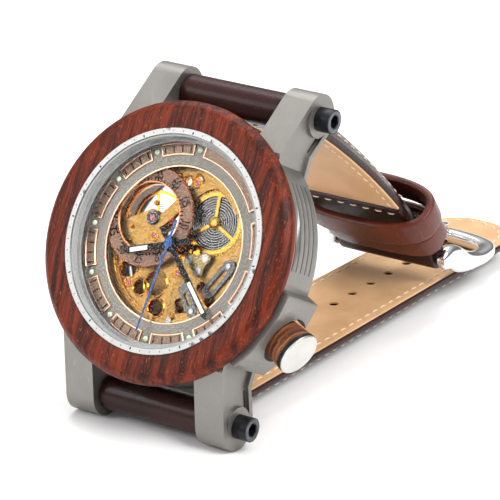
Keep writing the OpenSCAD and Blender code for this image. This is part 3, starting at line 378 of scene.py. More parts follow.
def fill_wear(t, i):
    """Thin scattered marks of rubbing and handling, placed by noise."""
    v = t.values(i["Vector"], i["Scale"])
    long_marks = t.noise(t.stretch(v, (3.0, 0.3, 1.0)), 1.0, 3.0, 0.6)
    patch = t.noise(v, 0.23, 3.0)
    mask = t.math("MULTIPLY", t.ramp(long_marks, 0.6, 0.68), t.ramp(patch, 0.45, 0.65))
    return {"Mask": t.math("MULTIPLY", mask, i["Amount"])}


def make_groups():
    v = ("Vector", "Vector", None)
    grey = (0.5, 0.5, 0.5, 1)
    return {
        "surface": group("Surface variation", [
            v, ("Cloud Scale", "Float", 0.2), ("Grain Scale", "Float", 8.0), ("Colour 1", "Color", grey),
            ("Colour 2", "Color", grey), ("Roughness", "Float", 0.4), ("Roughness Spread", "Float", 0.1),
        ], [("Colour", "Color"), ("Roughness", "Float"), ("Height", "Float")], fill_surface),
        "wood": group("Wood grain", [
            # Highlight: colour of the painted highlights, bright flecks of light on the grain.
            v, ("Dark", "Color", grey), ("Light", "Color", grey), ("Fleck", "Color", grey),
            ("Roughness", "Float", 0.4),
        ], [("Colour", "Color"), ("Roughness", "Float"), ("Height", "Float")], fill_wood),
        "leather": group("Leather grain", [
            v, ("Scale", "Float", 2.0), ("Colour 1", "Color", grey), ("Colour 2", "Color", grey),
            ("Roughness", "Float", 0.4),
        ], [("Colour", "Color"), ("Roughness", "Float"), ("Height", "Float")], fill_leather),
        "wear": group("Handling marks", [v, ("Scale", "Float", 1.0), ("Amount", "Float", 0.5)],
                      [("Mask", "Float")], fill_wear),
    }


def rgb(r, g, b):
    """Colour from its red, green and blue parts, each from 0 to 255."""
    def linear(c):
        c /= 255
        return c / 12.92 if c <= 0.04045 else ((c + 0.055) / 1.055) ** 2.4
    return (linear(r), linear(g), linear(b), 1.0)


def millimetres(t, head=False, crown=False):
    """Coordinates in millimetres: on the table, in the head's frame or in the crown's."""
    coords = t.add("ShaderNodeTexCoord").outputs["Object"]
    place = CROWN if crown else HEAD if head else Matrix.Identity(4)
    node = t.add("ShaderNodeMapping", {"vector_type": "TEXTURE"})
    t.set(node, "Vector", coords)
    t.set(node, "Location", tuple(place.translation * MM))
    t.set(node, "Rotation", tuple(place.to_euler()))
    t.set(node, "Scale", (MM, MM, MM))
    return node.outputs[0]


def material(name, head=True, crown=False, **plain):
    """A new material with its Principled shader and millimetre coordinates."""
    mat = bpy.data.materials.new(name)
    mat.use_nodes = True
    t = Tree(mat.node_tree)
    shader = mat.node_tree.nodes["Principled BSDF"]
    for key, value in plain.items():
        t.set(shader, key.replace("_", " "), value)
    return mat, t, shader, millimetres(t, head, crown)


def use(t, tree, vector, **values):
    node = t.add("ShaderNodeGroup", {"node_tree": tree})
    t.set(node, "Vector", vector)
    for key, value in values.items():
        t.set(node, key.replace("_", " "), value)
    return node.outputs


def bump(t, shader, height, depth, strength=1.0):
    node = t.add("ShaderNodeBump", None, Strength=strength, Distance=depth * MM)
    t.set(node, "Height", height)
    t.set(shader, "Normal", node.outputs[0])


def finish_of(groups, name, one, two, rough=0.4, spread=0.1, cloud=0.15, grain=6.0, depth=0.01, wear=0.0,
              wear_colour=None, wear_rough=0.25, head=True, crown=False, **plain):
    """A finish with cloudy variation, a fine grain and optional handling marks."""
    mat, t, shader, v = material(name, head, crown, **plain)
    out = use(t, groups["surface"], v, Cloud_Scale=cloud, Grain_Scale=grain, Colour_1=one, Colour_2=two,
              Roughness=rough, Roughness_Spread=spread)
    colour, roughness = out["Colour"], out["Roughness"]
    if wear:
        mask = use(t, groups["wear"], v, Scale=0.8, Amount=wear)["Mask"]
        colour = t.mix(mask, colour, wear_colour or two)
        roughness = t.math("ADD", roughness, t.math("MULTIPLY", mask, wear_rough - rough))
    t.set(shader, "Base Color", colour)
    t.set(shader, "Roughness", roughness)
    if depth:
        bump(t, shader, out["Height"], depth)
    return mat


def gold_plate(name, matte, bright):
    """Movement plate: grained matte gold on the faces towards the dial, polished on walls and bevels."""
    mat, t, shader, v = material(name, Metallic=1.0)
    normal = t.add("ShaderNodeTexCoord").outputs["Normal"]
    dot = t.add("ShaderNodeVectorMath", {"operation": "DOT_PRODUCT"})
    t.set(dot, "#0", normal)
    t.set(dot, "#1", tuple(HEAD.to_3x3() @ Vector((0, 0, 1))))
    flat = t.ramp(dot.outputs["Value"], 0.94, 0.995)
    pale = t.mix(0.6, bright, rgb(212, 186, 122))
    grains = t.noise(t.stretch(v, (3.0, 6.5, 3.0)), 1.2, 3.0, 0.7)
    colour = t.mix(flat, bright, t.mix(t.ramp(grains, 0.36, 0.6), pale, matte))
    t.set(shader, "Base Color", colour)
    t.set(shader, "Roughness", t.math("ADD", 0.13, t.math("MULTIPLY", flat, 0.27)))
    bump(t, shader, t.math("MULTIPLY", grains, flat), 0.03)
    return mat


# fleck is the colour of the painted highlights on the grain.
def wood_finish(groups, name, dark, light, fleck, rough, crown=False, depth=0.03, coat=0.1):
    mat, t, shader, v = material(name, head=not crown, crown=crown, Coat_Weight=coat, Coat_Roughness=0.25,
                            Specular_IOR_Level=0.2)
    if crown:
        # Grain runs round the crown: the angle takes the place of the long direction.
        part = t.add("ShaderNodeSeparateXYZ")
        t.set(part, "Vector", v)
        turn = t.math("MULTIPLY", t.math("ARCTAN2", part.outputs["Y"], part.outputs["X"]), 3.4)
        radius = t.math("SQRT", t.math("ADD", t.math("MULTIPLY", part.outputs["X"], part.outputs["X"]),
                                       t.math("MULTIPLY", part.outputs["Y"], part.outputs["Y"])))
        mixed = t.add("ShaderNodeCombineXYZ")
        t.set(mixed, "X", t.math("MULTIPLY", part.outputs["Z"], 3.2))
        t.set(mixed, "Y", t.math("MULTIPLY", turn, 3.0))
        t.set(mixed, "Z", radius)
        v = mixed.outputs[0]
    out = use(t, groups["wood"], v, Dark=dark, Light=light, Fleck=fleck, Roughness=rough)
    t.set(shader, "Base Color", out["Colour"])
    t.set(shader, "Roughness", out["Roughness"])
    bump(t, shader, out["Height"], depth)
    return mat


def leather_finish(groups, name, one, two, rough, scale=2.2, depth=0.05, coat=0.0, wear=0.0,
                   wear_colour=None):
    mat, t, shader, v = material(name, head=False, Coat_Weight=coat, Coat_Roughness=0.22,
                                 Specular_IOR_Level=0.18)
    out = use(t, groups["leather"], v, Scale=scale, Colour_1=one, Colour_2=two, Roughness=rough)
    colour = out["Colour"]
    if wear:
        colour = t.mix(use(t, groups["wear"], v, Scale=0.7, Amount=wear)["Mask"], colour, wear_colour)
    t.set(shader, "Base Color", colour)
    t.set(shader, "Roughness", out["Roughness"])
    bump(t, shader, out["Height"], depth)
    return mat


def glass_finish(name):
    """Clear crystal that lets lamps light what lies behind it."""
    mat, t, shader, v = material(name, Metallic=0.0, Transmission_Weight=1.0, IOR=1.02, Roughness=0.0,
                             Coat_Weight=0.5)
    t.set(shader, "Base Color", t.mix(t.noise(v, 0.1, 2.0), (0.98, 1.0, 0.99, 1), (1, 1, 1, 1)))
    path = t.add("ShaderNodeLightPath")
    t.set(shader, "Alpha", t.math("MULTIPLY", 0.15, t.math("SUBTRACT", 1.0, path.outputs["Is Shadow Ray"])))
    return mat


def make_finishes():
    g = make_groups()
    steel = finish_of(g, "case_steel", rgb(128, 125, 121), rgb(144, 141, 136), rough=0.46, spread=0.08,
                      cloud=0.12, grain=9.0, depth=0.012, wear=0.35, wear_colour=rgb(166, 164, 160),
                      wear_rough=0.34, Metallic=0.85)
    made = {
        "case_steel": steel,
        "steel_polished": finish_of(g, "steel_polished", rgb(214, 214, 214), rgb(230, 230, 229), rough=0.16,
                                    spread=0.06, cloud=0.3, grain=4.0, depth=0.001, wear=0.3, head=False,
                                    wear_colour=rgb(232, 232, 232), wear_rough=0.2, Metallic=1.0),
        "steel_satin": finish_of(g, "steel_satin", rgb(196, 195, 190), rgb(212, 211, 206), rough=0.36,
                                 spread=0.08, cloud=0.4, grain=10.0, depth=0.006, Metallic=1.0),
        "black_steel": finish_of(g, "black_steel", rgb(22, 23, 26), rgb(38, 39, 42), rough=0.36, spread=0.12,
                                 cloud=0.5, grain=9.0, depth=0.008, wear=0.4, wear_colour=rgb(84, 84, 88),
                                 Metallic=0.6),
        "ring_steel": finish_of(g, "ring_steel", rgb(116, 116, 115), rgb(138, 138, 136), rough=0.28,
                                spread=0.08, cloud=0.3, grain=6.0, depth=0.004, Metallic=1.0),
        "glass": glass_finish("glass"),
        "gasket": finish_of(g, "gasket", rgb(26, 26, 27), rgb(40, 40, 41), rough=0.6, grain=4.0),
        "white_gasket": finish_of(g, "white_gasket", rgb(148, 150, 149), rgb(168, 169, 167), rough=0.35,
                                  grain=4.0),
        "dial_grey": finish_of(g, "dial_grey", rgb(118, 114, 107), rgb(131, 127, 119), rough=0.5, spread=0.08,
                               cloud=0.2, grain=12.0, depth=0.0, Metallic=0.45),
        "placard": finish_of(g, "placard_copper", rgb(112, 88, 71), rgb(130, 105, 86), rough=0.42, spread=0.1,
                             cloud=0.5, grain=10.0, depth=0.0, Metallic=0.5),
        "seconds_ring": finish_of(g, "seconds_ring_copper", rgb(120, 89, 71), rgb(138, 105, 85), rough=0.5,
                                  spread=0.08, cloud=0.4, grain=11.0, depth=0.0, Metallic=0.4),
        "rose_gold": finish_of(g, "rose_gold", rgb(186, 138, 112), rgb(204, 156, 130), rough=0.18,
                               spread=0.08, cloud=0.6, grain=5.0, depth=0.002, Metallic=1.0),
        "copper_edge": finish_of(g, "copper_edge", rgb(170, 100, 60), rgb(190, 118, 74), rough=0.25,
                                 spread=0.1, cloud=0.6, grain=5.0, depth=0.002, Metallic=0.8),
        "lume": finish_of(g, "lume", rgb(204, 218, 176), rgb(218, 230, 194), rough=0.6, grain=14.0,
                          depth=0.02),
        "lume_white": finish_of(g, "lume_white", rgb(236, 237, 234), rgb(246, 246, 243), rough=0.6,
                                grain=14.0, depth=0.02),
        "print_black": finish_of(g, "print_black", rgb(6, 6, 6), rgb(14, 13, 13), rough=0.6, grain=14.0,
                                 depth=0.0, Specular_IOR_Level=0.1),
        "hand_black": finish_of(g, "hand_black", rgb(8, 8, 9), rgb(16, 16, 17), rough=0.42, spread=0.1,
                                cloud=0.8, grain=8.0, depth=0.0, Specular_IOR_Level=0.15),
        "hand_blue": finish_of(g, "hand_blue", rgb(2, 50, 104), rgb(8, 70, 130), rough=0.34, spread=0.1,
                               cloud=0.8, grain=8.0, depth=0.003, Metallic=0.35),
        "holder": finish_of(g, "movement_holder", rgb(150, 146, 138), rgb(170, 166, 158), rough=0.5,
                            grain=5.0),
        "gold": gold_plate("gold_plate", rgb(98, 70, 28), rgb(214, 140, 38)),
        "gold_bright": finish_of(g, "gold_bright", rgb(178, 104, 22), rgb(228, 154, 50), rough=0.14,
                                 spread=0.1, cloud=0.6, grain=4.0, depth=0.003, Metallic=1.0),
        "gold_dark": finish_of(g, "gold_dark", rgb(134, 98, 40), rgb(180, 136, 62), rough=0.26, spread=0.12,
                               cloud=0.8, grain=6.0, depth=0.006, Metallic=1.0),
        "steel_dark": finish_of(g, "steel_dark", rgb(58, 58, 60), rgb(88, 87, 86), rough=0.3, spread=0.15,
                                cloud=0.8, grain=7.0, depth=0.006, Metallic=0.9),
        "spring_steel": finish_of(g, "spring_steel", rgb(70, 72, 76), rgb(112, 114, 118), rough=0.22,
                                  spread=0.1, cloud=0.7, grain=6.0, depth=0.003, Metallic=1.0),
        "bronze_dark": finish_of(g, "bronze_dark", rgb(88, 78, 52), rgb(122, 106, 66), rough=0.3, spread=0.12,
                                 cloud=0.7, grain=7.0, depth=0.006, Metallic=0.9),
        "steel_bright": finish_of(g, "steel_bright", rgb(112, 111, 110), rgb(146, 145, 143), rough=0.28,
                                  spread=0.1, cloud=0.7, grain=6.0, depth=0.003, Metallic=1.0),
        "ruby": finish_of(g, "ruby", rgb(110, 6, 34), rgb(160, 14, 54), rough=0.12, spread=0.05, cloud=1.0,
                          grain=3.0, depth=0.0, Coat_Weight=0.2),
        # The third colour of each wood is a painted highlight: bright flecks that stand for glints of light
        # on the grain.
        "bezel_wood": wood_finish(g, "bezel_wood", rgb(42, 11, 4), rgb(120, 41, 15), rgb(182, 90, 38), 0.48,
                                  coat=0.0),
        "crown_wood": wood_finish(g, "crown_wood", rgb(74, 37, 22), rgb(168, 106, 70), rgb(216, 160, 116),
                                  0.55, crown=True, depth=0.06, coat=0.1),
        "leather": leather_finish(g, "leather_dark", rgb(26, 7, 5), rgb(54, 17, 11), 0.4, scale=2.0,
                                  depth=0.05, coat=0.18, wear=0.25, wear_colour=rgb(104, 54, 40)),
        "keeper": leather_finish(g, "keeper_leather", rgb(60, 22, 15), rgb(104, 44, 30), 0.34, scale=2.4,
                                 depth=0.04, coat=0.3, wear=0.4, wear_colour=rgb(150, 70, 42)),
        "lining": leather_finish(g, "leather_tan", rgb(194, 154, 112), rgb(211, 172, 131), 0.55, scale=3.4,
                                 depth=0.02, coat=0.1),
        "thread": finish_of(g, "thread", rgb(222, 200, 166), rgb(236, 220, 190), rough=0.7, grain=9.0,
                            depth=0.03, head=False),
    }
    return made


FINISH_OF_NODE = {
    "case_middle": "case_steel", "crown_tube": "steel_dark", "rehaut_ring": "ring_steel", "crystal": "glass",
    "crystal_gasket": "white_gasket", "dial": "dial_grey", "subdial_ring": "seconds_ring",
    "movement_ring": "holder", "case_back": "case_steel", "back_glass": "glass", "back_gasket": "gasket",
    "lug_screws": "black_steel", "main_plate": "gold", "barrel_bridge": "gold", "train_bridge": "gold",
    "balance_cock": "gold", "jewels": "ruby", "movement_screws": "steel_bright",
    "minute_cover": "bronze_dark", "setting_spring": "steel_dark", "yoke_spring": "steel_dark",
    "rotor_bearing": "steel_bright", "hairspring": "spring_steel", "crown_grip": "crown_wood",
    "crown_ring": "black_steel", "crown_cap": "steel_satin", "winding_stem": "steel_bright",
    "setting_lever": "steel_dark", "barrel_drum": "gold_dark", "mainspring": "spring_steel",
    "center_wheel": "gold_bright", "minute_hand": "hand_black", "minute_lume": "lume_white",
    "hour_wheel": "gold_bright", "hour_hand": "hand_black", "hour_lume": "lume_white",
    "minute_wheel": "gold_bright", "third_wheel": "gold_bright", "fourth_wheel": "gold_bright",
    "second_hand": "hand_blue", "escape_wheel": "steel_bright", "pallet_fork": "steel_bright",
    "balance_wheel": "gold_bright", "rotor": "gold", "buckle_bar": "steel_polished",
}
ROUNDED_EDGES = {"case_middle": 0.15, "main_plate": 0.12, "lug_screws": 0.12, "crown_grip": 0.15,
                 "crown_cap": 0.06, "crown_ring": 0.08, "case_back": 0.12, "rotor": 0.1,
                 "minute_cover": 0.04, "setting_spring": 0.06, "yoke_spring": 0.06, "barrel_bridge": 0.1,
                 "train_bridge": 0.1, "balance_cock": 0.1, "barrel_drum": 0.04, "minute_hand": 0.05,
                 "hour_hand": 0.05, "dial": 0.06, "rehaut_ring": 0.08}

FINISH = {}


def finish(key):
    if not FINISH:
        FINISH.update(make_finishes())
    return FINISH[key]


# ---------- settings ----------

class WatchDialSettings(bpy.types.PropertyGroup):
    """Sizes of the printed and applied dial detail."""
    tick_width: bpy.props.FloatProperty(name="Tick width", description="Width of a minute tick, mm",
                                        default=0.22, min=0.08, max=0.4)
    numeral_size: bpy.props.FloatProperty(name="Numeral size", description="Height of a seconds numeral, mm",
                                          default=1.55, min=0.8, max=2.0)
    rim_width: bpy.props.FloatProperty(name="Rim width", description="Bright rim of a raised plate, mm",
                                       default=0.16, min=0.05, max=0.4)


class WatchStrapSettings(bpy.types.PropertyGroup):
    """Sizes of the strap's stitching and edges."""
    stitch_pitch: bpy.props.FloatProperty(name="Stitch pitch",
                                          description="Distance from stitch to stitch, mm", default=2.5,
                                          min=1.5, max=4.0)
    stitch_length: bpy.props.FloatProperty(name="Stitch length", description="Length of one stitch, mm",
                                           default=1.6, min=1.0, max=3.0)
    stitch_inset: bpy.props.FloatProperty(name="Stitch inset",
                                          description="Distance of the stitching from the edge, mm",
                                          default=1.55, min=0.8, max=3.0)


class WatchStageSettings(bpy.types.PropertyGroup):
    """Light and floor."""
    key_power: bpy.props.FloatProperty(name="Key power", description="Power of the main softbox, W",
                                       default=6.5, min=0.0, max=100.0)
    world_strength: bpy.props.FloatProperty(name="World strength",
                                            description="Strength of the even white surround", default=1.0,
                                            min=0.0, max=4.0)


# ---------- operators ----------

class PieceOperator(bpy.types.Operator):
    bl_options = {"REGISTER", "UNDO"}

    def execute(self, context):
        self.build(context.scene)
        return {"FINISHED"}


class WATCH_OT_finishes(PieceOperator):
    """Gives every frame node that stays in view its finish and softened edges"""
    bl_idname = "watch.finishes"
    bl_label = "Finishes of the frame nodes"

    def build(self, scene):
        for node, key in FINISH_OF_NODE.items():
            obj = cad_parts[node]
            if not obj.material_slots:
                obj.data.materials.append(None)
            for slot in obj.material_slots:
                slot.link = "OBJECT"
                slot.material = finish(key)
            if node in ROUNDED_EDGES:
                weld = obj.modifiers.new("weld", "WELD")
                weld.merge_threshold = 1e-6
                bevel = obj.modifiers.new("soft_edges", "BEVEL")
                bevel.width = ROUNDED_EDGES[node] * MM
                bevel.segments = 2
                bevel.limit_method = "ANGLE"
                bevel.angle_limit = math.radians(38)
                bevel.harden_normals = True


class WATCH_OT_bezel(PieceOperator):
    """Turned wooden bezel with a soft crease and a rounded lower edge"""
    bl_idname = "watch.bezel"
    bl_label = "Wooden bezel"

    def build(self, scene):
        outline = rounded([(17.9, 0.8), (17.9, 3.3), (21.35, 3.3), (22.5, 2.15), (22.5, 1.15), (22.15, 0.8)],
                          [0, 0.12, 0.7, 0.5, 0.3, 0.2], 5)
        bezel = put("wooden_bezel", *lathe(outline, 240), finish("bezel_wood"), "head", "bezel_wood", HEAD,
                    sharp=60)
        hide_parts("wood_bezel")


class WATCH_OT_rehaut(PieceOperator):
    """Small dark notches round the polished ring"""
    bl_idname = "watch.rehaut"
    bl_label = "Ring notches"

    def build(self, scene):
        parts = []
        for i in range(60):
            long = i % 5 == 0
            place = (Matrix.Rotation(-math.radians(6 * i) - DIAL_TURN, 4, "Z")
                     @ Matrix.Translation((0, 17.3 if long else 17.4, 3.45)))
            parts.append(moved(bar_block(0.2 if long else 0.1, 0.4 if long else 0.24, 0.02, 0.005), place))
        put("ring_notches", *joined(parts), finish("print_black"), "head", "black_steel", HEAD)


class WATCH_OT_dial(PieceOperator):
    """Raised plates with bright rims, minute ticks, hour dots, dial edge and seconds ring detail"""
    bl_idname = "watch.dial"
    bl_label = "Dial detail"

    def build(self, scene):
        s = scene.watch_dial
        self.plates(s)
        self.ticks(s)
        self.dots()
        self.rims()
        self.seconds(s)

    def plates(self, s):
        verts, faces, mats = [], [], []
        for hour in range(1, 12):
            start = math.radians(30 * (0 if hour == 1 else hour) + 3.5)
            end = math.radians(30 * (hour + 1) - 3.5)
            steps = 20 if hour == 1 else 10
            rings = []
            for inset, z in ((0, 0), (0, 0.24), (0.06, 0.3), (s.rim_width, 0.3), (s.rim_width + 0.05, 0.25)):
                low, high = PLATE_IN + inset, PLATE_OUT - inset
                a0, a1 = start + inset / PLATE_MID, end - inset / PLATE_MID
                ring = [polar(low, a0 + (a1 - a0) * k / steps) for k in range(steps + 1)]
                ring += [polar(high, a1 + (a0 - a1) * k / steps) for k in range(steps + 1)]
                rings.append([(p.x, p.y, z) for p in ring])
            v, f = skin(rings)
            f.pop()
            count = 2 * (steps + 1)
            base = len(rings) * count - count
            quads = [(base + k, base + k + 1, base + count - 2 - k,
                      base + count - 1 - k) for k in range(steps)]
            offset = len(verts)
            verts += v
            faces += [tuple(i + offset for i in face) for face in f + quads]
            mats += [0] * len(f) + [1] * len(quads)
        turn = Matrix.Rotation(-DIAL_TURN, 4, "Z")
        plates = put("hour_plates", verts, faces, [finish("rose_gold"), finish("placard")], "head",
                     "rose_gold", HEAD @ turn, mats, sharp=25)
        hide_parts("dial_placards")

    def ticks(self, s):
        parts = []
        for hour in range(2, 12):
            for k in range(1, 5):
                clock = math.radians(30 * hour + 6 * k)
                place = (Matrix.Rotation(-clock - DIAL_TURN, 4,
                                         "Z") @ Matrix.Translation((0, PLATE_MID, 0.25)))
                parts.append(moved(bar_block(s.tick_width, 1.25, 0.03, 0.01), place))
        put("minute_ticks", *joined(parts), finish("print_black"), "head", "black_steel", HEAD)

    def dots(self):
        dome = [(0, 0), (0.42, 0), (0.42, 0.1), (0.36, 0.2), (0.22, 0.28), (0, 0.31)]
        parts = [moved(lathe(dome, 24), Matrix.Translation(polar(15.3, math.radians(30 * h) + DIAL_TURN)))
                 for h in range(2, 13)]
        dots = put("hour_dots", *joined(parts), finish("lume"), "head", "lume", HEAD, sharp=80)
        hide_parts("lume_dots")
        cup = [(0.42, 0), (0.42, 0.12), (0.5, 0.12), (0.5, 0)]
        parts = [moved(lathe(cup, 24), Matrix.Translation(polar(15.3, math.radians(30 * h) + DIAL_TURN)))
                 for h in range(2, 13)]
        put("hour_dot_cups", *joined(parts), finish("dial_grey"), "head", "dial_grey", HEAD)

    def rims(self):
        edge = [(12.36, -0.5), (12.36, 0.0), (12.42, 0.05), (12.56, 0.05), (12.62, 0.0), (12.62, -0.02),
                (12.4, -0.5)]
        put("dial_opening_rim", *lathe(edge, 180), finish("rose_gold"), "head", "rose_gold", HEAD)
        outer = [(16.45, 0.0), (16.45, 0.05), (16.53, 0.07), (16.62, 0.05), (16.62, 0.0)]
        put("dial_outer_line", *lathe(outer, 180), finish("dial_grey"), "head", "dial_grey", HEAD)

    def seconds(self, s):
        seat = HEAD @ Matrix.Translation(BALANCE + Vector((0, 0, -0.6)))
        inner = [(5.5, -0.3), (5.5, 0.0), (5.55, 0.05), (5.68, 0.05), (5.74, 0.0), (5.74, -0.1), (5.56, -0.3)]
        outer = [(7.86, -0.1), (7.86, 0.0), (7.92, 0.05), (8.02, 0.03), (8.05, -0.02), (8.05, -0.3),
                 (7.98, -0.3)]
        put("seconds_ring_rims", *joined([lathe(inner, 140), lathe(outer, 160)]), finish("copper_edge"),
            "head", "rose_gold", seat)
        parts = []
        zero = math.radians(29.3)
        for i in range(60):
            bold = i % 5 == 0
            place = Matrix.Rotation(-zero - math.radians(6 * i), 4,
                                    "Z") @ Matrix.Translation((0, 6.02 if bold else 5.98, 0))
            parts.append(moved(bar_block(0.34 if bold else 0.2, 0.7 if bold else 0.5, 0.06, 0.01), place))
        put("seconds_ticks", *joined(parts), finish("print_black"), "head", "black_steel", seat)
        for k in range(1, 13):
            self.numeral(s, f"{5 * k:02d}", zero + math.radians(30 * k), seat)

    def numeral(self, s, label, clock, seat):
        """One seconds numeral, its top turned outwards on the upper half and inwards on the lower."""
        curve = bpy.data.curves.new("numeral", "FONT")
        curve.body = label
        curve.size = s.numeral_size * 1.4
        curve.space_character = 0.92
        curve.align_x = curve.align_y = "CENTER"
        curve.extrude = 0.01
        curve.offset = 0.02
        curve.resolution_u = 4
        text = bpy.data.objects.new("numeral", curve)
        bpy.context.scene.collection.objects.link(text)
        inwards = math.radians(130) < clock % (2 * math.pi) < math.radians(255)
        at = polar(6.86, clock)
        place = seat @ Matrix.Translation(at + Vector((0, 0, 0.02))) @ Matrix.Rotation(
            -clock + (math.pi if inwards else 0), 4, "Z") @ Matrix.Scale(0.82, 4, X_AXIS)
        place = Matrix.Scale(MM, 4) @ place
        bpy.context.view_layer.update()
        mesh = bpy.data.meshes.new_from_object(text)
        bpy.data.objects.remove(text)
        mesh.transform(place)
        mesh.materials.clear()
        mesh.materials.append(finish("print_black"))
        piece = bpy.data.objects.new("seconds_numeral_" + label, mesh)
        bpy.context.scene.collection.objects.link(piece)
        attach(piece, "head")


class WATCH_OT_movement(PieceOperator):
    """Shock setting, jewel cups, studs and layered plates of the movement"""
    bl_idname = "watch.movement"
    bl_label = "Movement detail"

    def build(self, scene):
        top = -1.9
        ring = rounded([(0.62, 0), (0.62, 0.3), (0.85, 0.36), (1.12, 0.3), (1.2, 0.0)], 0.05, 2)
        parts = [lathe(ring, 48)]
        for a in (20, 140, 260):
            place = Matrix.Rotation(math.radians(a), 4, "Z") @ Matrix.Translation((0, 0.85, 0.3))
            parts.append(moved(bar_block(0.2, 0.3, 0.12, 0.03), place))
        put("shock_setting", *joined(parts), finish("spring_steel"), "head", "steel_bright",
            HEAD @ Matrix.Translation(BALANCE + Vector((0, 0, top + 0.02))))
        cup = rounded([(0.44, 0), (0.44, 0.08), (0.62, 0.14), (0.78, 0.12), (0.82, 0)], 0.03, 2)
        cups = []
        for x, y in ((-7.5, -7.25), (0.35, 10.3), (-5.0, 0.7), (-3.85, -1.4), (1.03, -4.12)):
            cups.append(moved(lathe(cup, 40), Matrix.Translation((x, y, top + 0.01))))
        put("jewel_cups", *joined(cups), finish("gold_bright"), "head", "gold", HEAD)
        dome = [(0, 0), (0.42, 0), (0.42, 0.5), (0.36, 0.62), (0.2, 0.7), (0, 0.72)]
        studs = []
        for x, y, k in ((-6.0, 5.8, 1.0), (-9.6, 1.4, 0.8), (-9.2, -0.8, 0.6), (-10.4, 3.2, 0.7),
                        (9.4, 8.3, 0.8), (-3.2, 10.9, 0.8), (2.2, -11.0, 0.9), (-9.9, -3.3, 0.8)):
            studs.append(moved(lathe(dome, 28), Matrix.Translation((x, y, top + 0.01)) @ Matrix.Scale(k, 4)))
        put("small_studs", *joined(studs), finish("gold_bright"), "head", "gold", HEAD, sharp=50)
        self.rims(top)
        self.lines(top)
        self.barrel()

    def rims(self, top):
        """Bright stepped rims round the plate's windows and two stepped arcs along its edge."""
        parts = []
        for x, y, r in ((-8.2, -5.2, 1.5), (-5.2, -7.6, 1.2), (-2.6, -6.6, 1.9), (0.2, 10.6, 0.8),
                        (-1.4, -10.2, 1.3), (-1.6, 10.2, 0.7)):
            step = [(r + 0.01, -0.4), (r + 0.01, 0.02), (r + 0.12, 0.16), (r + 0.26, 0.18), (r + 0.42, 0.0)]
            parts.append(moved(lathe(step, 64), Matrix.Translation((x, y, top + 0.01))))
        for low, high, start, end, z in ((11.3, 12.5, 186, 262, 0.3), (11.7, 12.7, 190, 250, 0.55),
                                         (10.9, 12.6, 18, 52, 0.25), (10.6, 12.6, 142, 168, 0.25)):
            rings = []
            for k in range(31):
                clock = math.radians(start + (end - start) * k / 30)
                outline = [(low, 0), (low, z - 0.08), (low + 0.08, z), (high, z), (high, 0)]
                rings.append([(r * math.sin(clock), r * math.cos(clock), top + 0.01 + h) for r, h in outline])
            parts.append(skin(rings))
        put("window_rims", *joined(parts), finish("gold"), "head", "gold", HEAD, sharp=30)

    def lines(self, top):
        """Dark engraved lines and slots across the plate."""
        parts = []
        for x0, y0, x1, y1 in ((-10.2, -0.4, -6.9, 1.9), (-8.6, -1.9, -4.6, 1.4), (-6.4, -2.6, -3.4, -0.6),
                               (-11.2, -3.2, -7.0, -3.4), (-4.6, -3.6, -0.9, -5.4), (-7.6, -9.2, -4.4, -10.6),
                               (0.6, -7.0, 1.9, -11.4), (-3.6, 9.3, 2.6, 8.9), (1.4, -5.4, 5.4, -5.0),
                               (6.6, -8.2, 8.6, -8.8), (10.6, -0.6, 11.4, 1.4)):
            a, b = Vector((x0, y0, 0)), Vector((x1, y1, 0))
            place = (Matrix.Translation((a + b) / 2 + Vector((0, 0, top + 0.005)))
                     @ Matrix.Rotation(math.atan2(y1 - y0, x1 - x0), 4, "Z"))
            parts.append(moved(bar_block((b - a).length, 0.12, 0.02, 0.005), place))
        put("engraved_lines", *joined(parts), finish("bronze_dark"), "head", "gold", HEAD)

    def barrel(self):
        """Toothed upper wheel of the barrel over its coiled spring, with a black disc under the coils as
        painted shade in the gaps between them.
        """
        z, count = -2.35, 72
        seat = HEAD @ Matrix.Translation((4.985, 4.814, 0))
        rows = [[], [], [], []]
        for i in range(count * 4):
            a = math.tau * i / (count * 4)
            r = (4.85, 5.26, 5.26, 4.85)[i % 4]
            for row, radius, height in ((0, 4.3, z), (1, r, z), (2, r, z + 0.2), (3, 4.3, z + 0.2)):
                rows[row].append((radius * math.cos(a), radius * math.sin(a), height))
        parts = [skin(rows, closed=True)]
        for k in range(3):
            place = Matrix.Rotation(math.radians(95 + 120 * k), 4, "Z") @ Matrix.Translation((2.5, 0, z))
            parts.append(moved(bar_block(3.8, 0.62, 0.2, 0.05), place))
        hub = rounded([(0, z), (1.05, z), (1.05, z + 0.3), (0.5, z + 0.42), (0, z + 0.42)],
                      [0, 0.02, 0.08, 0.1, 0], 3)
        parts.append(lathe(hub, 40))
        put("barrel_upper_wheel", *joined(parts), finish("gold_dark"), "barrel", "gold", seat, sharp=30)
        coils = []
        for k in range(8):
            r = 1.15 + 0.4 * k
            coils.append(lathe([(r, z - 0.3), (r, z - 0.06), (r + 0.02, z - 0.04), (r + 0.12, z - 0.04),
                                (r + 0.14, z - 0.06), (r + 0.14, z - 0.3)], 90))
        put("barrel_coils", *joined(coils), finish("steel_bright"), "barrel", "steel_dark", seat, sharp=30)
        # Painted shade: this black disc under the coils stands in for the shade in the gaps between the
        # spring's turns.
        floor = lathe([(0.9, z - 0.34), (4.4, z - 0.34), (4.4, z - 0.12), (0.9, z - 0.12)], 90)
        put("barrel_coil_gap_shade", *floor, finish("hand_black"), "barrel", "steel_dark", seat)


class WATCH_OT_screws(PieceOperator):
    """Bright end faces on the two screw heads"""
    bl_idname = "watch.screws"
    bl_label = "Screw end rings"

    def build(self, scene):
        ring = rounded([(1.18, -0.05), (1.18, 0.04), (1.7, 0.04), (1.88, -0.05)], 0.03, 2)
        parts = []
        for side in (-1, 1):
            place = Matrix.Translation((SCREW_END, side * BAR_Y, -BAR_DEPTH)) @ Matrix.Rotation(math.pi / 2,
                                                                                                4, "Y")
            parts.append(moved(lathe(ring, 60), place))
        put("screw_end_rings", *joined(parts), finish("spring_steel"), "head", "steel_polished", HEAD)


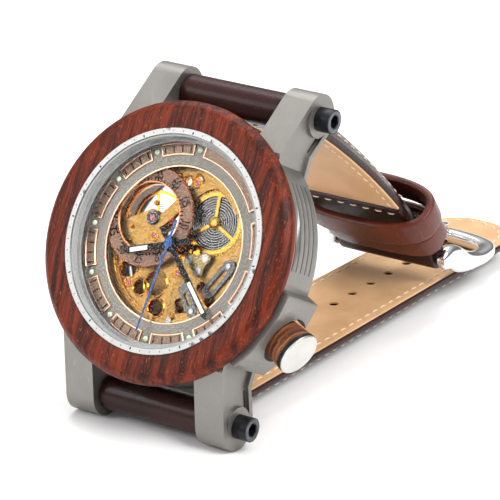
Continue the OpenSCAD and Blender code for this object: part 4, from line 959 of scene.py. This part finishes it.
class Half:
    """One strap half as a path of lining-side points; s runs from the lug bar."""

    def __init__(self, place, length, nb, tip, far_loop=None):
        self.place, self.length, self.nb, self.tip, self.far_loop = place, length, nb, tip, far_loop

    def half_width(self, s):
        if not self.tip:
            return STRAP_W / 2
        straight = LONG_L - TIP_W / 2
        if s <= straight:
            return STRAP_W / 2 + (TIP_W - STRAP_W) / 2 * max(0, s) / straight
        d = min(1.0, (s - straight) / (TIP_W / 2))
        return TIP_W / 2 * math.sqrt(max(0.0, 1 - d * d))

    def loop_side(self, s, flap, body_top, radius, nb):
        """Top, bottom and edge thickness near a bar, s measured from that bar along the strap."""
        body_bottom = -STRAP_T
        if s <= 0:
            reach = math.sqrt(max(0.0, radius * radius - s * s))
            return nb + reach, nb - reach, 2 * reach
        up = smooth(1 - s / (1.9 * radius))
        down = smooth(1 - s / (2.4 * radius))
        top = body_top + (nb + radius - body_top) * up
        bottom = body_bottom + (nb - radius - body_bottom) * down
        edge = EDGE_T + FLAP_T * (s < flap)
        return top, bottom, edge + (top - bottom - edge) * smooth(1 - s / 7.0)

    def heights(self, s):
        flap = s < LUG_FLAP
        body_top = FLAP_T if flap else -LINING_T + 0.03
        if self.far_loop is not None and s > self.length / 2:
            back = self.length - s
            body_top = FLAP_T if back < BUCKLE_FLAP else -LINING_T + 0.03
            return self.loop_side(back, BUCKLE_FLAP, body_top, self.far_loop, self.nb)
        top, bottom, edge = self.loop_side(s, LUG_FLAP, body_top, LUG_LOOP_R, self.nb)
        if self.tip:
            thin = smooth((self.length - s) / 11.0)
            bottom = -EDGE_T - 0.25 + (bottom + EDGE_T + 0.25) * thin
        return top, bottom, edge

    def stations(self):
        rows = [-LUG_LOOP_R * math.cos(math.pi / 2 * k / 7) for k in range(7)]
        s = 0.0
        while s < LUG_FLAP - 0.4:
            rows.append(s)
            s += 0.7
        rows += [LUG_FLAP - 0.1, LUG_FLAP + 0.15]
        s = LUG_FLAP + 1.5
        end = self.length - (BUCKLE_FLAP if self.far_loop else TIP_W / 2)
        while s < end - 1.0:
            rows.append(s)
            s += 1.8
        if self.far_loop:
            rows += [end - 0.15, end + 0.1]
            s = end + 1.2
            while s < self.length - 7:
                rows.append(s)
                s += 1.6
            while s < self.length:
                rows.append(s)
                s += 0.6
            rows += [self.length + self.far_loop * math.sin(math.pi / 2 * k / 7) for k in range(8)]
        else:
            rows += [end + (self.length - end) * math.sin(math.pi / 2 * k / 16) for k in range(17)]
        return rows

    def ring(self, s, half, top, bottom, edge):
        """Section outline: flat lining side, thin edge, padded outer side."""
        half = max(half, 0.02)
        corner = min(0.32, edge * 0.3, half * 0.5)
        out = []
        for k in range(17):
            u = -1 + 2 * k / 16
            out.append((u * (half - corner), top))
        out += [(half - corner * 0.3, top - corner * 0.3), (half, top - corner)]
        out += [(half, top - edge + corner), (half - corner * 0.4, top - edge + corner * 0.2)]
        low = top - edge
        for k in range(23):
            u = 1 - 2 * k / 22
            lift = (max(0.0, (abs(u) - 0.4)) / 0.6) ** 1.9
            out.append((u * (half - corner), bottom + (low - bottom) * lift))
        out += [(-half + corner * 0.4, top - edge + corner * 0.2), (-half, top - edge + corner)]
        out += [(-half, top - corner), (-half + corner * 0.3, top - corner * 0.3)]
        return [self.place(s, x, n) for x, n in out]

    def leather(self):
        rings = []
        for s in self.stations():
            top, bottom, edge = self.heights(s)
            if top - bottom < 0.12:
                mid = (top + bottom) / 2
                top, bottom, edge = mid + 0.06, mid - 0.06, 0.12
            rings.append(self.ring(s, self.half_width(s), top, bottom, edge))
        return skin(rings)

    def lining(self):
        start = LUG_FLAP + 0.1
        end = self.length - (BUCKLE_FLAP + 0.1 if self.far_loop else 0.3)
        rows = []
        count = 60
        for k in range(count + 1):
            s = start + (end - start) * k / count
            rows.append(s)
        if not self.far_loop:
            straight = LONG_L - TIP_W / 2
            rows = [r for r in rows if r < straight] + [
                straight + (end - straight) * math.sin(math.pi / 2 * k / 18) for k in range(19)]
        rings = []
        for s in rows:
            half = max(self.half_width(s) - 0.28, 0.03)
            r = min(0.14, half * 0.5)
            pts = [(-half, -LINING_T), (-half, -r), (-half + r * 0.4, -r * 0.25)]
            pts += [((-1 + 2 * k / 12) * (half - r), 0.02 * math.sin(s * 0.35 + k)) for k in range(13)]
            pts += [(half - r * 0.4, -r * 0.25), (half, -r), (half, -LINING_T)]
            rings.append([self.place(s, x, n) for x, n in pts])
        return skin(rings)

    def stitch_points(self, s):
        """Even points along the stitching, with the direction to the next one: (position s, x) pairs."""
        inset = s.stitch_inset
        start = LUG_FLAP + 1.2
        line = []
        if self.far_loop:
            end = self.length - BUCKLE_FLAP - 1.0
            for side in (-1, 1):
                line.append([(start + (end - start) * k / 100,
                              side * (self.half_width(0) - inset)) for k in range(101)])
        else:
            straight = LONG_L - TIP_W / 2
            path = [(start + (straight - start) * k / 100,
                     -(self.half_width(start + (straight - start) * k / 100) - inset))
                    for k in range(101)]
            r = TIP_W / 2 - inset
            path += [(straight + r * math.sin(math.pi * k / 40),
                      -r * math.cos(math.pi * k / 40)) for k in range(1, 40)]
            path += [(a, -x) for a, x in reversed(path[:101])]
            line.append(path)
        for at in (LUG_FLAP - 1.4,) + ((self.length - BUCKLE_FLAP + 1.4,) if self.far_loop else ()):
            w = STRAP_W / 2 - inset
            line.append([(at, -w + 2 * w * k / 40) for k in range(41)])
        out = []
        for path in line:
            run, target = 0.0, 0.4
            for (s0, x0), (s1, x1) in zip(path, path[1:]):
                step = math.hypot(s1 - s0, x1 - x0)
                while step > 0 and run + step >= target:
                    t = (target - run) / step
                    out.append((s0 + (s1 - s0) * t, x0 + (x1 - x0) * t, math.atan2(x1 - x0, s1 - s0)))
                    target += s.stitch_pitch
                run += step
        return out

    def stitches(self, s):
        """Small thread loops on both faces."""
        rng = random.Random(7)
        parts = []
        for at, x, turn in self.stitch_points(s):
            top, bottom, edge = self.heights(at)
            surface = 0.0 if LUG_FLAP <= at <= self.length - (BUCKLE_FLAP if self.far_loop else 0) else top
            u = abs(x) / max(self.half_width(at) - 0.32, 1)
            lift = (max(0.0, (u - 0.4)) / 0.6) ** 1.9
            under = bottom + (top - edge - bottom) * lift
            for level, sign in ((surface, 1), (under, -1)):
                lean = turn + 0.09 * sign + rng.uniform(-0.03, 0.03)
                half_l = s.stitch_length / 2 * rng.uniform(0.94, 1.05)
                rings = []
                for k in range(STITCH_RINGS):
                    v = -1 + 2 * k / (STITCH_RINGS - 1)
                    wide = 0.16 * math.sqrt(max(0.05, 1 - v * v * 0.92))
                    rise = 0.15 * (1 - v * v) - (0.06 if sign > 0 else 0.13)
                    ring = []
                    for j in range(STITCH_SIDES):
                        around = 2 * math.pi * j / STITCH_SIDES
                        c, d = math.cos(around), math.sin(around)
                        ds = v * half_l * math.cos(lean) - c * wide * math.sin(lean)
                        dx = v * half_l * math.sin(lean) + c * wide * math.cos(lean)
                        ring.append(self.place(at + ds, x + dx, level + sign * (rise + d * wide * 0.7)))
                    rings.append(ring)
                parts.append(skin(rings))
        return joined(parts)


def long_place(s, x, n):
    return (x, LOW_BAR.y + s, STRAP_T + n)


def short_place(s, x, n):
    a = ARC_MID + ARC_HALF - s / ARC_R
    r = ARC_R - SHORT_IN - n
    return (x, ARC_C.y + r * math.cos(a), ARC_C.z + r * math.sin(a))


def cut_holes(obj):
    """Drills the strap's row of holes."""
    drill = []
    circle = [(HOLE_R * math.cos(math.tau * k / 32), HOLE_R * math.sin(math.tau * k / 32)) for k in range(32)]
    for i in range(HOLE_COUNT):
        y = LOW_BAR.y + FIRST_HOLE + HOLE_PITCH * i
        drill.append(skin([[(x, y + d, z) for x, d in circle] for z in (-2.0, STRAP_T + 2.0)]))
    verts, faces = joined(drill)
    mesh = bpy.data.meshes.new("drill")
    mesh.from_pydata([tuple(Vector(v) * MM) for v in verts], [], faces)
    bm = bmesh.new()
    bm.from_mesh(mesh)
    bmesh.ops.recalc_face_normals(bm, faces=bm.faces)
    bm.to_mesh(mesh)
    bm.free()
    cutter = bpy.data.objects.new("drill", mesh)
    bpy.context.scene.collection.objects.link(cutter)
    modifier = obj.modifiers.new("holes", "BOOLEAN")
    modifier.operation, modifier.solver, modifier.object = "DIFFERENCE", "EXACT", cutter
    bpy.context.view_layer.update()
    graph = bpy.context.evaluated_depsgraph_get()
    cut = bpy.data.meshes.new_from_object(obj.evaluated_get(graph))
    obj.modifiers.clear()
    obj.data = cut
    bpy.data.objects.remove(cutter)


class WATCH_OT_strap(PieceOperator):
    """Padded leather halves with lining, stitching and holes"""
    bl_idname = "watch.strap"
    bl_label = "Strap"

    def build(self, scene):
        s = scene.watch_strap
        long_half = Half(long_place, LONG_L, LOW_BAR.z - STRAP_T, tip=True)
        short_half = Half(short_place, ARC_L, -SHORT_IN, tip=False, far_loop=BUCKLE_LOOP_R)
        for name, half, nodes in (
                ("long", long_half, ("strap_long_leather", "strap_long_lining")),
                ("short", short_half, ("strap_short_leather", "strap_short_lining"))):
            body = "strap_" + name
            leather = put(name + "_strap_leather", *half.leather(), finish("leather"), body, "leather_dark",
                          sharp=50)
            lining = put(name + "_strap_lining", *half.lining(), finish("lining"), body, "leather_tan",
                         sharp=50)
            if name == "long":
                cut_holes(leather)
                cut_holes(lining)
            put(name + "_strap_stitches", *half.stitches(s), finish("thread"), body, "leather_tan", sharp=80)
            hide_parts(nodes[0])
            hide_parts(nodes[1])


def keeper_frame(s, tilt=0.0):
    """Frame on the short half at distance s from the buckle bar: +Z along the strap, +Y outwards."""
    a = ARC_MID - ARC_HALF + s / ARC_R
    return (Matrix.Translation(ARC_C) @ Matrix.Rotation(a, 4, "X") @ Matrix.Translation((0, ARC_R, 0))
            @ Matrix.Translation((0, 1.2 - (0.4 if tilt else 0), 0)) @ Matrix.Rotation(tilt, 4, "X"))


class WATCH_OT_keepers(PieceOperator):
    """Fixed and free leather keepers"""
    bl_idname = "watch.keepers"
    bl_label = "Keepers"

    def build(self, scene):
        self.keeper("fixed_keeper_leather", "fixed_keeper", "strap_short", keeper_frame(3.6), 10.8, 3.5, 4.5,
                    3.6)
        self.keeper("free_keeper_leather", "free_keeper", "free_keeper", keeper_frame(9.6, math.radians(-8)),
                    12.2, 4.9, 5.0, 2.7)

    def keeper(self, name, node, body, place, a, b, wide, power):
        thick = 1.4
        section = rounded([(-thick / 2, 0), (thick / 2, 0), (thick / 2, wide), (-thick / 2, wide)], 0.55, 4)
        loop = superellipse(a, b, power, 96)
        rings = []
        for k, (x, y) in enumerate(loop):
            before, after = loop[k - 1], loop[(k + 1) % len(loop)]
            out = Vector((after[1] - before[1], before[0] - after[0])).normalized()
            swell = 1 + 0.04 * math.sin(3 * math.tau * k / 96 + 1)
            rings.append([(x + out.x * q * swell, y + out.y * q * swell, z) for q, z in section])
        piece = put(name, *skin(rings, closed=True), finish("keeper"), body, "leather_dark", place, sharp=60)
        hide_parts(node)


class WATCH_OT_buckle(PieceOperator):
    """Plump polished buckle frame and its tang"""
    bl_idname = "watch.buckle"
    bl_label = "Buckle"

    def build(self, scene):
        seat = Matrix.Translation(BUCKLE_AXIS)
        right = [(11.05, -1.9, 0.0, 0.7, 0.9), (11.05, -0.9, 0.05, 1.1, 1.75), (11.05, 0.8, 0.0, 1.18, 2.15),
                 (11.05, 3.2, -1.0, 1.2, 2.45), (11.02, 6.2, -2.3, 1.2, 1.95), (10.95, 9.6, -3.05, 1.22, 1.5),
                 (10.8, 12.8, -3.3, 1.3, 1.34), (9.9, 15.6, -3.34, 1.42, 1.3), (7.2, 17.0, -3.34, 1.42, 1.3),
                 (3.6, 17.6, -3.34, 1.3, 1.3), (0.0, 17.8, -3.34, 1.25, 1.3)]
        left = [(-x, y, z, w, h) for x, y, z, w, h in reversed(right[:-1])]
        path = spline(right + left, 120)
        rings = []
        for k, p in enumerate(path):
            before, after = path[max(k - 1, 0)], path[min(k + 1, len(path) - 1)]
            along = Vector((after[0] - before[0], after[1] - before[1])).normalized()
            side = Vector((along.y, -along.x))
            rings.append([(p[0] + side.x * q, p[1] + side.y * q, p[2] + z)
                          for q, z in superellipse(p[3], p[4], 2.5, 28)])
        buckle = put("buckle_polished", *skin(rings), finish("steel_polished"), "buckle", "steel_polished",
                     seat, sharp=60)
        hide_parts("buckle_frame")
        self.tang(seat)

    def tang(self, seat):
        line = [(0.0, 1.2, 0.95, 0.5), (2.5, 1.15, 0.95, 0.58), (6.0, 0.65, 0.95, 0.6),
                (10.0, -0.15, 0.92, 0.58), (14.0, -0.85, 0.88, 0.55), (17.0, -1.25, 0.82, 0.5),
                (18.3, -1.5, 0.6, 0.36), (18.6, -1.55, 0.2, 0.15)]
        rings = []
        for p in spline(line, 48):
            rings.append([(q, p[0], p[1] + z) for q, z in superellipse(p[2], p[3], 2.6, 20)])
        ring = rounded([(0.86, -0.95), (1.68, -0.95), (1.68, 0.95), (0.86, 0.95)], 0.2, 3)
        eye = moved(lathe(ring, 48), Matrix.Rotation(math.pi / 2, 4, "Y"))
        tang = put("buckle_tang_polished", *joined([skin(rings), eye]), finish("steel_polished"), "tang",
                   "steel_polished", seat, sharp=50)
        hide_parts("buckle_tang")


class WATCH_OT_stage(PieceOperator):
    """Camera, soft light and pale floor"""
    bl_idname = "watch.stage"
    bl_label = "Stage"

    def build(self, scene):
        s = scene.watch_stage
        mat, t, shader, v = material("floor_white", head=False, Roughness=0.7)
        t.set(shader, "Base Color",
              t.mix(t.noise(v, 0.01, 2.0), (0.93, 0.93, 0.93, 1), (0.95, 0.95, 0.95, 1)))
        mesh = bpy.data.meshes.new("floor")
        mesh.from_pydata([(-4, -4, 0), (4, -4, 0), (4, 4, 0), (-4, 4, 0)], [], [(0, 1, 2, 3)])
        mesh.materials.append(mat)
        floor = bpy.data.objects.new("floor", mesh)
        scene.collection.objects.link(floor)
        world = bpy.data.worlds.new("studio")
        world.use_nodes = True
        sky = Tree(world.node_tree)
        back = world.node_tree.nodes["Background"]
        part = sky.add("ShaderNodeSeparateXYZ")
        sky.set(part, "Vector", sky.add("ShaderNodeTexCoord").outputs["Generated"])
        rise = sky.ramp(part.outputs["Z"], 0.05, 0.75)
        sky.set(back, "Color", sky.mix(rise, (0.2, 0.2, 0.2, 1), (0.85, 0.85, 0.85, 1)))
        back.inputs["Strength"].default_value = s.world_strength
        scene.world = world
        for name, place, aim, size, power in (
                ("key", (0.62, -0.1, 0.6), (0, 0, 0.03), 0.4, s.key_power),
                ("top", (-0.25, 0.35, 0.8), (0, 0.03, 0.0), 0.6, s.key_power * 0.7),
                ("front", (-0.45, -0.55, 0.4), (0, 0, 0.03), 0.35, s.key_power * 0.3)):
            lamp = bpy.data.lights.new(name, "AREA")
            lamp.shape, lamp.size, lamp.energy = "SQUARE", size, power
            obj = bpy.data.objects.new(name, lamp)
            obj.location = place
            obj.rotation_euler = (Vector(aim) - Vector(place)).to_track_quat("-Z", "Y").to_euler()
            scene.collection.objects.link(obj)
        self.camera(scene)

    def camera(self, scene):
        data = bpy.data.cameras.new("view")
        data.lens, data.sensor_width = VIEW_LENS, 36.0
        data.clip_start, data.clip_end = 0.05, 20.0
        cam = bpy.data.objects.new("view", data)
        right = VIEW_RIGHT.normalized()
        forward = VIEW_FORWARD.normalized()
        up = right.cross(forward).normalized()
        right = forward.cross(up).normalized()
        turn = Matrix((right, up, -forward)).transposed().to_4x4()
        cam.matrix_world = Matrix.Translation(VIEW_PLACE) @ turn
        scene.collection.objects.link(cam)
        scene.camera = cam
        scene.view_settings.view_transform = "Standard"


class WATCH_PT_panel(bpy.types.Panel):
    """Lists the watch's builders"""
    bl_idname = "WATCH_PT_panel"
    bl_label = "Wristwatch"
    bl_space_type = "VIEW_3D"
    bl_region_type = "UI"
    bl_category = "Wristwatch"

    def draw(self, context):
        for settings in ("watch_dial", "watch_strap", "watch_stage"):
            box = self.layout.box()
            source = getattr(context.scene, settings)
            for key in source.bl_rna.properties.keys():
                if key not in ("rna_type", "name"):
                    box.prop(source, key)
        for operator in OPERATORS:
            self.layout.operator(operator.bl_idname)


OPERATORS = (WATCH_OT_finishes, WATCH_OT_bezel, WATCH_OT_rehaut, WATCH_OT_dial, WATCH_OT_movement,
             WATCH_OT_screws, WATCH_OT_strap, WATCH_OT_keepers, WATCH_OT_buckle, WATCH_OT_stage)
SETTINGS = (("watch_dial", WatchDialSettings), ("watch_strap", WatchStrapSettings),
            ("watch_stage", WatchStageSettings))


def register():
    for name, group_class in SETTINGS:
        bpy.utils.register_class(group_class)
        setattr(bpy.types.Scene, name, bpy.props.PointerProperty(type=group_class))
    for cls in OPERATORS + (WATCH_PT_panel,):
        bpy.utils.register_class(cls)


def unregister():
    for cls in reversed(OPERATORS + (WATCH_PT_panel,)):
        bpy.utils.unregister_class(cls)
    for name, group_class in reversed(SETTINGS):
        delattr(bpy.types.Scene, name)
        bpy.utils.unregister_class(group_class)


def main():
    register()
    for operator in OPERATORS:
        getattr(bpy.ops.watch, operator.bl_idname.split(".")[1])()
    bpy.context.view_layer.update()


if __name__ == "__main__":
    main()
